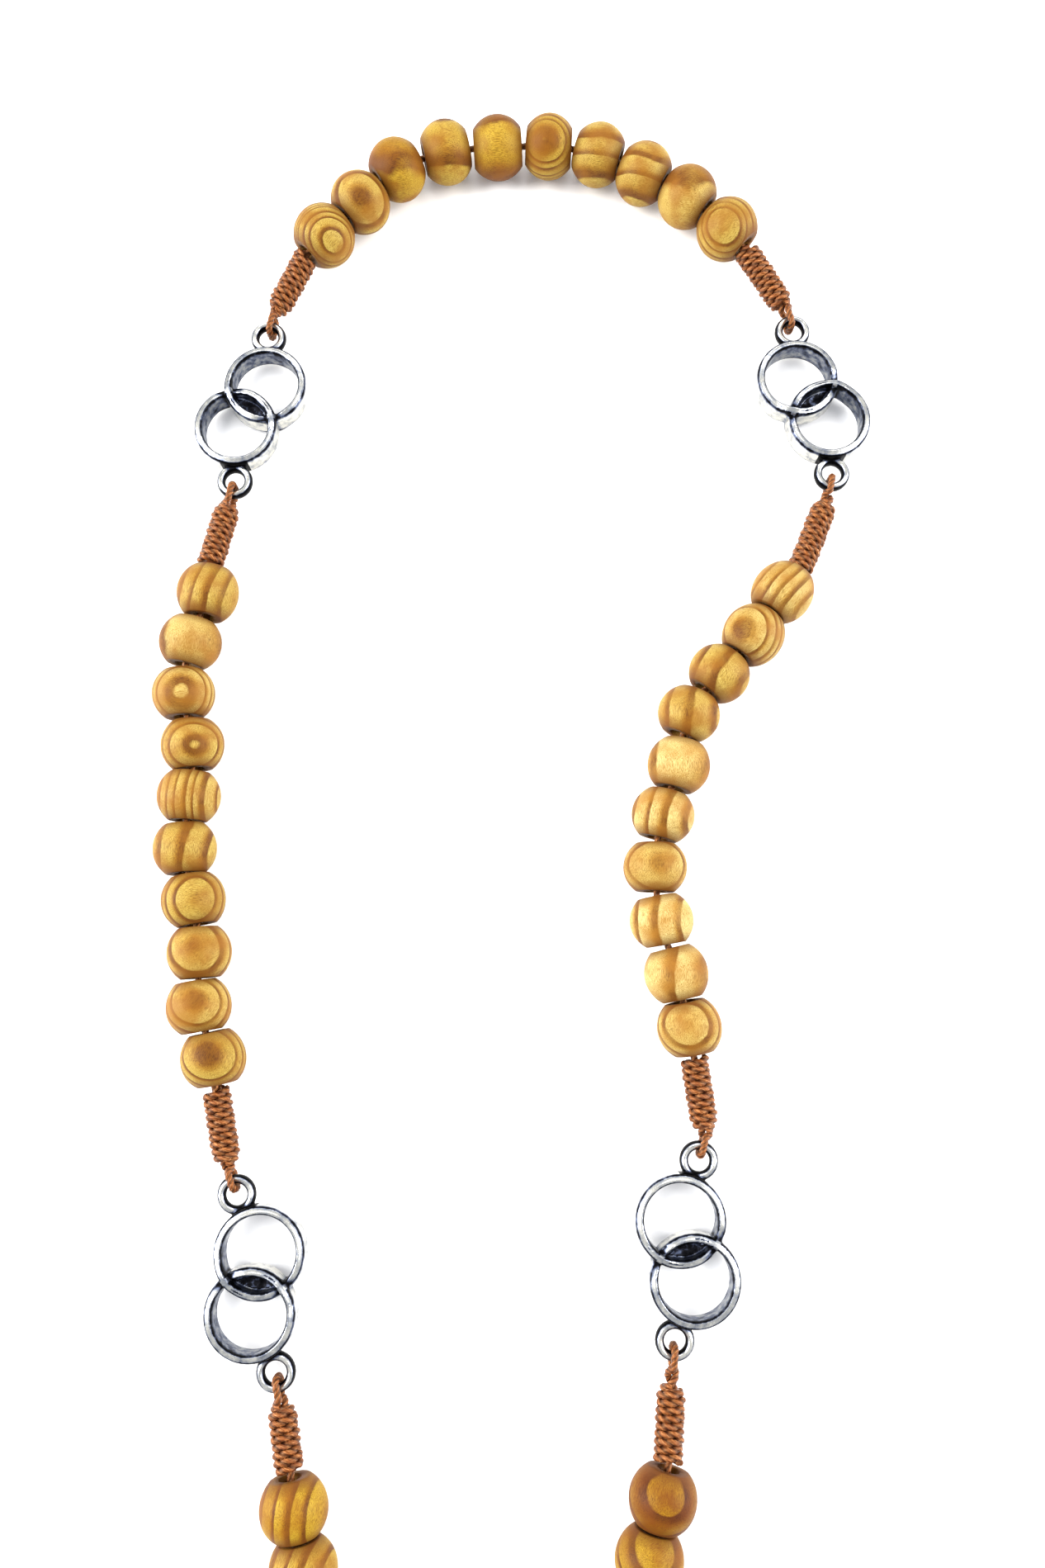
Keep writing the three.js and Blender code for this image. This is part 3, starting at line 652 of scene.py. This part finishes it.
def threaded_beads_tree():
    """Turned beads on one line. A grid is rolled up by formula into a bored ball with flat faces."""
    tree, group, output = new_tree("threaded beads", [
        ("Diameter", "Float"), ("Length", "Float"), ("Bore", "Float"), ("Face", "Float"),
        ("Count", "Int"), ("Pitch", "Float")])
    grid = add_node(tree, "GeometryNodeMeshGrid", {
        "Size X": 1.0, "Size Y": 1.0, "Vertices X": 56, "Vertices Y": 41})
    at = add_node(tree, "GeometryNodeInputPosition")
    place = add_node(tree, "ShaderNodeSeparateXYZ", {0: at})
    turn = add_node(tree, MATH, {0: place, 1: 2 * math.pi}, operation="MULTIPLY")
    half_bore = add_node(tree, MATH, {0: group.outputs["Bore"], 1: 0.5}, operation="MULTIPLY")
    half_width = add_node(tree, MATH, {0: group.outputs["Diameter"], 1: 0.5}, operation="MULTIPLY")
    half_length = add_node(tree, MATH, {0: group.outputs["Length"], 1: 0.5}, operation="MULTIPLY")

    # the middle of the grid is the round outside, then come the two faces, and its two ends are the bore
    outside = add_node(tree, MAP_RANGE, {
        "Value": place.outputs[1], 1: -OUTSIDE_END, 2: OUTSIDE_END, 3: -1.0, 4: 1.0})
    quarter = add_node(tree, MATH, {0: outside, 1: math.pi / 2}, operation="MULTIPLY")
    rise = add_node(tree, MATH, {0: quarter}, operation="SINE")
    squared = add_node(tree, MATH, {0: rise, 1: rise}, operation="MULTIPLY")
    face_share = add_node(tree, MATH, {0: group.outputs["Face"], 1: group.outputs["Diameter"]},
                          operation="DIVIDE")
    face_square = add_node(tree, MATH, {0: face_share, 1: 2.0}, operation="POWER")
    flattening = add_node(tree, MATH, {0: 1.0, 1: face_square}, operation="SUBTRACT")
    fall = add_node(tree, MATH, {0: squared, 1: flattening}, operation="MULTIPLY")
    left = add_node(tree, MATH, {0: 1.0, 1: fall}, operation="SUBTRACT")
    round_share = add_node(tree, MATH, {0: left}, operation="SQRT")
    outer = add_node(tree, MATH, {0: half_width, 1: round_share}, operation="MULTIPLY")

    inner = add_node(tree, MATH, {0: place.outputs[1]}, operation="ABSOLUTE")
    rim = add_node(tree, MAP_RANGE, {0: inner, 1: OUTSIDE_END, 2: FACE_END, 3: 0.0, 4: 1.0},
                   interpolation_type="SMOOTHSTEP")
    radius = add_node(tree, MIX, {0: rim, 2: outer, 3: half_bore})
    depth = add_node(tree, MAP_RANGE, {0: inner, 1: FACE_END, 2: 0.5, 3: 1.0, 4: 0.0})
    reached = add_node(tree, MATH, {0: rise, 1: depth}, operation="MULTIPLY")
    height = add_node(tree, MATH, {0: reached, 1: half_length}, operation="MULTIPLY")
    cosine = add_node(tree, MATH, {0: turn}, operation="COSINE")
    sine = add_node(tree, MATH, {0: turn}, operation="SINE")
    across_x = add_node(tree, MATH, {0: radius, 1: cosine}, operation="MULTIPLY")
    across_y = add_node(tree, MATH, {0: radius, 1: sine}, operation="MULTIPLY")
    shape = add_node(tree, "ShaderNodeCombineXYZ", {0: across_x, 1: across_y, 2: height})
    formed = add_node(tree, SET_POSITION, {0: grid, "Position": shape})
    bead = add_node(tree, "GeometryNodeMergeByDistance", {0: formed, "Distance": 0.002 * MM})

    step = add_node(tree, "ShaderNodeCombineXYZ", {2: group.outputs["Pitch"]})
    line = add_node(tree, "GeometryNodeMeshLine", {"Count": group.outputs["Count"], "Offset": step})
    strung = add_node(tree, "GeometryNodeInstanceOnPoints", {"Points": line, "Instance": bead})
    smooth = add_node(tree, "GeometryNodeSetShadeSmooth", {0: strung})
    finish_tree(tree, output, smooth, PINE)
    return tree


THREADED_BEADS = threaded_beads_tree()

# How each bead was cut from the wood. An eye shows the rings from outside, as rounds and ovals: its numbers
# move it aside and up, and turn the log in degrees. Stripes show them from the side, at an angle in degrees.
# The last numbers are the width of a year's growth in mm, and where in that year the middle of the bead lies.
CUTS = {
    "decade_3": [
        ("eye", 0.3, -0.15, 60, 0.7, 0.7), ("eye", 0.0, 0.1, 40, 1.7, 0.75), ("stripes", 4, 6.5, 0.35),
        ("stripes", 0, 6.0, 0.1), ("stripes", 4, 7.0, 0.8), ("eye", -0.15, 0.2, 80, 0.9, 0.7),
        ("stripes", -8, 2.4, 0.1), ("stripes", -14, 2.4, 0.0), ("stripes", 0, 7.0, 0.6),
        ("eye", -0.1, 0.1, 30, 0.8, 0.7)],
    "decade_2": [
        ("stripes", 78, 1.9, 0.0), ("stripes", 88, 7.0, 0.75), ("eye", -0.1, 0.1, 0, 1.0, 0.75),
        ("eye", 0.05, 0.0, 90, 1.1, 0.75), ("stripes", 88, 1.1, 0.2), ("stripes", 84, 2.7, 0.3),
        ("eye", 0.05, 0.05, 0, 1.1, 0.5), ("eye", -0.2, 0.25, 45, 1.7, 0.8),
        ("eye", -0.15, 0.2, 60, 1.1, 0.75), ("eye", -0.2, 0.15, 70, 1.0, 0.6)],
    "decade_4": [
        ("stripes", 52, 1.5, 0.1), ("eye", -0.35, 0.3, 20, 1.1, 0.75), ("stripes", 62, 2.8, 0.2),
        ("stripes", 84, 2.7, 0.1), ("stripes", 86, 6.0, 0.8), ("stripes", 82, 2.3, 0.8),
        ("eye", 0.1, 0.1, 80, 1.6, 0.75), ("stripes", 90, 2.5, 0.3), ("stripes", 88, 4.0, 0.4),
        ("eye", -0.05, 0.1, 75, 1.2, 0.75)],
    "decade_1": [("stripes", 80, 1.9, 0.1), ("stripes", 70, 2.0, 0.0)],
    "decade_5": [("eye", 0.1, 0.1, 80, 2.0, 0.8), ("eye", 0.2, 0.3, 30, 2.0, 0.8)],
}
# How pale each bead is, from ochre at 0 to cream at 1. Beads that are not listed get a tone by chance.
TONES = {
    "decade_3": [0.42, 0.52, 0.22, 0.3, 0.22, 0.3, 0.42, 0.5, 0.6, 0.45],
    "decade_2": [0.5, 0.72, 0.66, 0.5, 0.62, 0.48, 0.4, 0.56, 0.62, 0.4],
    "decade_4": [0.74, 0.7, 0.5, 0.58, 0.92, 0.84, 0.66, 0.97, 0.86, 0.66],
    "decade_1": [0.2, 0.3],
    "decade_5": [0.02, 0.14],
}
# About how far the beads of each kind lie from the heart of the log, in mm
HEART_DISTANCE = {"eye": 11, "stripes": 16}
# The cuts are listed as they look from this high above the middle of the strands, in mm
GRAIN_HEIGHT = 160


def grain_frame(cut, spot, rng):
    """Directions out from the heart of the log, round it and along it, and the bead's place in the log."""
    kind, *numbers, period, phase = cut
    angle = math.radians(numbers[-1])
    facing = (layout_point(0, 0, GRAIN_HEIGHT) - spot).normalized()
    sideways = Vector((0, 1, 0)).cross(facing).normalized()
    upward = facing.cross(sideways)
    log = sideways * math.cos(angle) + upward * math.sin(angle)
    if kind == "eye":
        outward = (sideways * numbers[0] + upward * numbers[1] + facing).normalized()
    else:
        outward = (log.cross(facing) + facing * 0.1).normalized()
    log = (log - outward * log.dot(outward)).normalized()
    distance = period * (round(HEART_DISTANCE[kind] / period) + phase)
    return outward, outward.cross(log), log, distance, period, rng.uniform(0, 90)


def write_grain(mesh, spots, cuts, tones, axis, length, rng):
    """Stores each point's place in the log in mm, years from the heart, nearness to an end and tone."""
    labels = ("grain", "tone", "rings", "ends")
    for label in labels:
        mesh.attributes.new(label, "FLOAT_VECTOR" if label == "grain" else "FLOAT", "POINT")
    grain, tone, rings, ends = (mesh.attributes[label] for label in labels)
    frames = [grain_frame(cut, spot, rng) for cut, spot in zip(cuts, spots)]
    for vertex in mesh.vertices:
        at = vertex.co / MM
        nearest = min(range(len(spots)), key=lambda i: (at - spots[i]).length_squared)
        outward, sideways, log, distance, period, up_log = frames[nearest]
        local = at - spots[nearest]
        in_log = Vector((local.dot(outward) + distance, local.dot(sideways), local.dot(log) + up_log))
        grain.data[vertex.index].vector = in_log
        rings.data[vertex.index].value = in_log.xy.length / period
        tone.data[vertex.index].value = tones[nearest]
        ends.data[vertex.index].value = abs(local.dot(axis)) / (length / 2)


def roughen(mesh, seed):
    """Makes beads a little out of round, with a soft dent here and there, as hand turning does."""
    for vertex in mesh.vertices:
        at = vertex.co / MM
        drift = noise.noise(at * 0.28 + Vector((seed * 7.3, 0, 0)))
        vertex.co += vertex.normal * (0.07 * drift * MM)


def make_beads(name, strand, count, centre, axis, length, nodes, body, cuts, tones, rng):
    """A bead, or a straight run of them, threaded along an axis."""
    seed = rng.randrange(10000)
    mesh = grown_mesh(THREADED_BEADS, {
        "Diameter": bead_diameter(strand) * MM, "Length": length * MM, "Bore": BEAD_BORE * MM,
        "Face": BEAD_FACE * MM, "Count": count, "Pitch": BEAD_PITCH * MM})
    start = centre - axis * (BEAD_PITCH * (count - 1) / 2)
    turn = axis.to_track_quat("Z", "Y").to_matrix().to_4x4()
    mesh.transform(Matrix.Translation(start * MM) @ turn)
    roughen(mesh, seed)
    spots = [start + axis * (BEAD_PITCH * i) for i in range(count)]
    write_grain(mesh, spots, cuts, tones, axis, length, rng)
    return placed(name, mesh, body, nodes)


def free_length(centres, axes, i):
    """How long a bead can be before its faces meet its neighbours' where the strand bends."""
    free = MOST_BEAD_LENGTH
    for k in (i - 1, i + 1):
        if 0 <= k < len(centres):
            bend = axes[i].angle(axes[k])
            free = min(free, (centres[i] - centres[k]).length - BEAD_FACE * math.tan(bend / 2) - BEAD_GAP)
    return free


def random_cut(rng):
    """A cut by chance, for a bead that isn't listed."""
    angle, period, phase = rng.uniform(0, 180), rng.uniform(1.3, 3.0), rng.random()
    if rng.random() < 0.5:
        return "eye", rng.uniform(-0.5, 0.5), rng.uniform(-0.5, 0.5), angle, period, phase
    return "stripes", angle, period, phase


for order, (strand, (centres, axes)) in enumerate(STRANDS.items()):
    rng = random.Random(STRAND_SEED + order)
    singles = SINGLE_BEADS.get(strand, len(centres))
    known = CUTS.get(strand, [])
    unlisted = centres[len(known):]
    cuts = known + [random_cut(rng) for _ in unlisted]
    tones = TONES.get(strand, []) + [rng.uniform(0.2, 0.6) for _ in unlisted]
    for i in range(singles):
        node = f"{strand}_bead_{i + 1}"
        length = free_length(centres, axes, i)
        make_beads("turned_" + node, strand, 1, centres[i], axes[i], length, [node], node,
                   cuts[i:i + 1], tones[i:i + 1], rng)
    if singles < len(centres):
        run = centres[-1] - centres[singles]
        make_beads(f"turned_{strand}_beads", strand, len(centres) - singles, centres[singles] + run / 2,
                   run.normalized(), BEAD_LENGTH, [strand + "_bead_run"], BODY_OF_STRAND[strand],
                   cuts[singles:], tones[singles:], rng)


# Castings

def closed_skin(loops):
    """A closed skin over loops of points, each joined to the next and the last to the first."""
    bm = bmesh.new()
    rows = [[bm.verts.new(point) for point in loop] for loop in loops]
    for here, there in zip(rows, rows[1:] + rows[:1]):
        for i in range(len(here)):
            k = (i + 1) % len(here)
            bm.faces.new((here[i], there[i], there[k], here[k]))
    bmesh.ops.recalc_face_normals(bm, faces=bm.faces)
    return bm


def lathed(profile, segments, centre):
    """A closed ring: a loop of (radius, height) swept round the upright line through centre."""
    angles = [2 * math.pi * s / segments for s in range(segments)]
    return closed_skin([
        [centre + Vector((r * math.cos(a), r * math.sin(a), h)) for r, h in profile] for a in angles])


def band_profile(inner, outer, depth):
    """A finger-ring section: flat walls, and at each edge a rounded rim that is highest near the inside."""
    h = depth / 2
    w = outer - inner
    return [
        (inner + 0.04, -h + 0.45), (inner, -h + 0.7), (inner, h - 0.7), (inner + 0.04, h - 0.45),
        (inner + 0.1 * w, h - 0.14), (inner + 0.3 * w, h), (inner + 0.52 * w, h - 0.12),
        (inner + 0.66 * w, h - 0.2), (inner + 0.82 * w, h - 0.2), (outer - 0.02, h - 0.45),
        (outer + 0.02, h - 0.9), (outer + 0.02, -h + 0.9), (outer - 0.02, -h + 0.45),
        (inner + 0.82 * w, -h + 0.2), (inner + 0.66 * w, -h + 0.2), (inner + 0.52 * w, -h + 0.12),
        (inner + 0.3 * w, -h), (inner + 0.1 * w, -h + 0.14)]


def eyelet_ring(centre, segments=48):
    """A round-edged eyelet."""
    half_wall = (EYELET_OUTER - EYELET_HOLE) / 2
    turns = [2 * math.pi * i / 16 for i in range(16)]
    section = [(EYELET_MIDDLE + half_wall * math.cos(a), EYELET_THICKNESS / 2 * math.sin(a)) for a in turns]
    return lathed(section, segments, centre)


def cast(name, parts, voxel, body, nodes, rubbed_and_painted_light_at):
    """Runs closed parts together as one softened casting, and stores how bright its silver is at each point:
    worn bright by rubbing, and on the connectors painted highlights, reflections and shade as well.
    """
    carrier = add_object("casting", joined([mesh_from(part, "part") for part in parts]))
    remesh = carrier.modifiers.new("fuse", "REMESH")
    remesh.mode = "VOXEL"
    remesh.voxel_size = voxel
    remesh.use_smooth_shade = True
    soften = carrier.modifiers.new("soften", "SMOOTH")
    soften.factor = 0.5
    soften.iterations = 3
    mesh = taken_mesh(carrier)
    mesh.transform(Matrix.Scale(MM, 4))
    mesh.materials.clear()
    mesh.materials.append(SILVER)
    rubbed_and_painted_light = mesh.attributes.new("rubbed_and_painted_light", "FLOAT", "POINT")
    for vertex in mesh.vertices:
        rubbed_and_painted_light.data[vertex.index].value = rubbed_and_painted_light_at(vertex.co / MM, vertex.normal)
    return placed(name, mesh, body, nodes)


def smoothstep(low, high, value):
    """A smooth rise from 0 at low to 1 at high."""
    t = min(1, max(0, (value - low) / (high - low)))
    return t * t * (3 - 2 * t)


def eye_web(middles):
    """The sunk plate that closes the eye between two crossed rings, dished towards its middle."""
    reach = RING_INNER + 0.35
    span = (middles[1] - middles[0]) / 2
    tip = math.sqrt(reach ** 2 - span.length ** 2)
    middle = (middles[0] + middles[1]) / 2
    along = span.normalized()
    side = Vector((-along.y, along.x, 0))
    outline = []
    for sign in (1, -1):
        for i in range(24):
            across_eye = sign * tip * (1 - i / 12)
            bulge = math.sqrt(reach ** 2 - across_eye ** 2) - span.length
            outline.append(side * across_eye + along * (sign * bulge))
    bm = bmesh.new()
    rows = []
    for share, height in ((0.0, -0.6), (1.0, -0.6), (1.0, 0.55), (0.6, 0.3), (0.25, 0.15), (0.0, 0.1)):
        level = middle + Vector((0, 0, height))
        if share == 0:
            rows.append([bm.verts.new(level)] * len(outline))
        else:
            rows.append([bm.verts.new(level + point * share) for point in outline])
    for lower, upper in zip(rows, rows[1:]):
        for i in range(len(outline)):
            k = (i + 1) % len(outline)
            # at a middle point two corners are the same, which leaves a triangle
            bm.faces.new(list(dict.fromkeys((lower[i], lower[k], upper[k], upper[i]))))
    bmesh.ops.recalc_face_normals(bm, faces=bm.faces)
    return bm


def make_connector(name):
    """Two deep bands crossed like linked rings, the upper one over at one crossing and under at the other."""
    centre, heading = joint_place("ring_roll_" + name)
    left = Vector((-heading.y, heading.x, 0))
    hand = 1 if name.endswith("left") else -1
    aside = left * (hand * RING_ACROSS)
    middles = [centre - heading * RING_ALONG + aside, centre + heading * RING_ALONG - aside]
    eyelets = EYELETS[name]
    parts = []
    for k, middle in enumerate(middles):
        ring = lathed(band_profile(RING_INNER, RING_OUTER, RING_DEPTH), 160, middle)
        other = middles[1 - k]
        for vertex in ring.verts:
            # each band dips under the other at one crossing and rises over it at the other
            near = 1 - smoothstep(0.3, 2.6, abs((vertex.co - other).xy.length - RING_MIDDLE))
            crossing_side = 1 if (vertex.co - centre).x < 0 else -1
            vertex.co.z += RING_LIFT * near * crossing_side * (1 if k == 0 else -1)
        parts.append(ring)
    parts += [eyelet_ring(eyelet, 64) for eyelet in eyelets]
    parts.append(eye_web(middles))

    # How bright the silver is painted on a connector. Part of this is silver worn bright and oxide, but most
    # is painted light: highlights on the rim crests and on the eyelets' upper faces, reflections painted on
    # the walls, and painted dark edges.
    def rubbed_and_painted_light_at(point, normal):
        ring_gaps = [abs((point - m).xy.length - RING_MIDDLE) for m in middles]
        eyelet_gap = min(abs((point - e).xy.length - EYELET_MIDDLE) for e in eyelets)
        own, crossing = sorted(ring_gaps)
        nearest = middles[ring_gaps.index(own)]
        reach = (point - nearest).xy.length
        across_rim = (reach - RING_INNER) / (RING_OUTER - RING_INNER)
        height = abs(point.z - centre.z) / (RING_DEPTH / 2)
        crest = smoothstep(0.72, 0.92, height)
        outward = (point - nearest).xy.normalized().dot(normal.xy)
        # the plate in the eye stays dark
        if own > 0.8 and eyelet_gap > 0.8:
            return 0.26
        # inner walls: a mid grey that, with the bluish stop, paints their reflection, darker towards the rims
        if outward < -0.45:
            value = 0.48 - 0.26 * smoothstep(0.6, 0.9, height)
        # outer walls: painted bright as a reflection of the side light, with a painted dark line under the
        # rim
        elif outward > 0.45:
            value = 0.78 - 0.55 * smoothstep(0.55, 0.85, height)
        # rim faces: a painted highlight on the crest, and dark lines along both edges that paint dark
        # reflection as well as oxide in the creases
        else:
            value = 0.22 + 0.5 * crest
            value -= 0.65 * smoothstep(0.4, 0.9, abs(across_rim - 0.5) * 2)
        # darker near where the two bands cross
        value -= 0.5 * (1 - smoothstep(0.3, 1.2, crossing)) * (1 - 0.8 * crest)
        # eyelets: a painted highlight on faces that look up, painted shade on the rest, and darker where they
        # meet the ring
        if eyelet_gap < 1.0 and own > 0.4:
            value = 0.8 * smoothstep(0.74, 0.99, normal.z * 0.5 + 0.5)
            value -= 0.5 * (1 - smoothstep(0.6, 1.2, own))
        return value

    node = "ring_connector_" + name
    cast("cast_" + node, parts, CAST_VOXEL, "ring_link_" + name, [node], rubbed_and_painted_light_at)


for connector in CONNECTORS:
    make_connector(connector)


# Centrepiece

def make_centrepiece():
    """An oval medal with a raised edge, a gently domed field and a raised cross."""
    width, height, thickness = MEDAL["width"], MEDAL["height"], MEDAL["thickness"]
    centre = Vector((MEDAL_X, MEDAL_EYELETS[2].y + 11.2, 0))
    bm = bmesh.new()
    rings, segments = 34, 112
    front = []
    for ring in range(1, rings + 1):
        share = ring / rings
        row = []
        for s in range(segments):
            angle = 2 * math.pi * s / segments
            x, y = width / 2 * share * math.cos(angle), height / 2 * share * math.sin(angle)
            edge = smoothstep(0.86, 0.9, share) * (1 - smoothstep(0.96, 1.0, share))
            field = 0.35 * (1 - share ** 2)
            upright = (1 - smoothstep(0.75, 1.05, abs(x))) * (1 - smoothstep(5.6, 6.0, abs(y)))
            bar = (1 - smoothstep(0.75, 1.05, abs(y - MEDAL["bar"]))) * (1 - smoothstep(3.7, 4.1, abs(x)))
            z = thickness - 0.55 + field + 0.5 * edge + 0.55 * max(upright, bar)
            if share > 0.96:
                z -= 0.45 * smoothstep(0.96, 1.0, share)
            row.append(bm.verts.new(centre + Vector((x, y, z))))
        front.append(row)
    hub = bm.verts.new(centre + Vector((0, 0, thickness - 0.2 + 0.55)))
    back = [bm.verts.new((outer.co.x, outer.co.y, MEDAL["back"])) for outer in front[-1]]
    low_hub = bm.verts.new((centre.x, centre.y, MEDAL["back"]))
    for s in range(segments):
        k = (s + 1) % segments
        bm.faces.new((hub, front[0][s], front[0][k]))
        for ring in range(rings - 1):
            bm.faces.new((front[ring][s], front[ring + 1][s], front[ring + 1][k], front[ring][k]))
        bm.faces.new((front[-1][s], back[s], back[k], front[-1][k]))
        bm.faces.new((back[s], low_hub, back[k]))
    bmesh.ops.recalc_face_normals(bm, faces=bm.faces)
    parts = [bm] + [eyelet_ring(eyelet) for eyelet in MEDAL_EYELETS]

    def rubbed_and_painted_light_at(point, normal):
        x, y = point.x - centre.x, point.y - centre.y
        share = math.hypot(x / (width / 2), y / (height / 2))
        raised = smoothstep(0.85, 0.92, share)
        if abs(y) < 6:
            raised = max(raised, 1 - smoothstep(0.6, 1.0, abs(x)))
        if abs(x) < 4.1:
            raised = max(raised, 1 - smoothstep(0.6, 1.0, abs(y - MEDAL["bar"])))
        return 0.36 + 0.5 * raised if normal.z > -0.5 else 0.62

    cast("cast_centrepiece", parts, CAST_VOXEL, "lower_loop", ["centrepiece"], rubbed_and_painted_light_at)


make_centrepiece()


# Cross

def cross_outline(inset):
    """The outline of a cross with flared ends, about the middle of its bar."""
    half = CROSS["width"] / 2 - inset
    arm = CROSS["arm"] / 2 - inset
    flare = CROSS["flare"] / 2 - inset
    top = CROSS["drop"] - inset
    foot = -(CROSS["height"] - CROSS["drop"]) + inset
    return [(arm, arm), (half, flare), (half, -flare), (arm, -arm), (flare, foot), (-flare, foot),
            (-arm, -arm), (-half, -flare), (-half, flare), (-arm, arm), (-flare, top), (flare, top)]


def slab(outline, low, high, centre):
    """A closed slab over an outline, between two heights."""
    bm = bmesh.new()
    lower = [bm.verts.new(centre + Vector((x, y, low))) for x, y in outline]
    upper = [bm.verts.new(centre + Vector((x, y, high))) for x, y in outline]
    bm.faces.new(list(reversed(lower)))
    bm.faces.new(upper)
    for i in range(len(outline)):
        k = (i + 1) % len(outline)
        bm.faces.new((lower[i], lower[k], upper[k], upper[i]))
    bmesh.ops.recalc_face_normals(bm, faces=bm.faces)
    return bm


def walled(outline, inner, low, high, centre):
    """A raised wall between two outlines that run side by side."""
    levels = ((outline, low), (outline, high), (inner, high), (inner, low))
    return closed_skin([[centre + Vector((x, y, z)) for x, y in line] for line, z in levels])


def make_cross():
    """A cast cross with a sunk face, its eyelet, and a thin wood panel laid into the face."""
    centre = Vector((CROSS_EYELET.x, CROSS_EYELET.y - EYELET_OUTER + 0.5 - CROSS["drop"], 0))
    thickness = CROSS["thickness"]
    sink = thickness - INLAY_DEPTH
    parts = [
        slab(cross_outline(0.1), 0.1, sink, centre),
        walled(cross_outline(0.1), cross_outline(INLAY_MARGIN), 0.1, thickness, centre),
        eyelet_ring(CROSS_EYELET),
    ]

    def rubbed_and_painted_light_at(point, normal):
        top = smoothstep(sink + 0.3, thickness - 0.1, point.z)
        return 0.4 + 0.45 * top if normal.z > -0.5 else 0.6

    cast("cast_cross_frame", parts, CROSS_VOXEL, "cross", ["cross_frame"], rubbed_and_painted_light_at)

    panel = slab(cross_outline(INLAY_MARGIN + INLAY_GAP * 0.6), sink + 0.05, thickness - 0.25, centre)
    bmesh.ops.bevel(panel, geom=panel.edges[:], offset=0.15, segments=2, affect="EDGES", profile=0.6)
    mesh = mesh_from(panel, "panel", [INLAY])
    mesh.transform(Matrix.Scale(MM, 4))
    placed("pine_cross_panel", mesh, "cross", ["cross_inlay"])


make_cross()


# Floor, lights and surroundings

def make_floor():
    """A wide pale board just under the part."""
    mesh = bpy.data.meshes.new("floor")
    half = 1.5
    drop = 0.2 * MM
    corners = [(-half, -half), (half, -half), (half, half), (-half, half)]
    mesh.from_pydata([(x, y, -drop) for x, y in corners], [], [(0, 1, 2, 3)])
    material, tree, shader = new_material("matt white board")
    set_inputs(tree, shader, {"Base Color": linear("#FBFAF8"), "Roughness": 0.9})
    mesh.materials.append(material)
    add_object("floor", mesh)


def make_light(name, place, target, size, power):
    """A white rectangular softbox that faces a target."""
    data = bpy.data.lights.new(name, "AREA")
    data.shape = "RECTANGLE"
    data.size, data.size_y = size
    data.energy = power
    light = add_object(name, data)
    light.location = place
    light.rotation_euler = (Vector(target) - Vector(place)).to_track_quat("-Z", "Y").to_euler()


make_floor()
middle = (0, 0.07, 0)
make_light("left_softbox", (-0.7, 0.12, 0.42), middle, (0.45, 0.9), 15.5)
make_light("right_softbox", (0.7, 0.12, 0.42), middle, (0.45, 0.9), 12)
make_light("far_softbox", (0, 0.95, 0.75), middle, (0.9, 0.4), 6.5)
world = bpy.data.worlds.new("studio")
bpy.context.scene.world = world
world.use_nodes = True
background = world.node_tree.nodes["Background"]
set_inputs(world.node_tree, background, {"Color": linear("#EEF1F8"), "Strength": 1.0})
bpy.context.scene.view_settings.view_transform = "Standard"
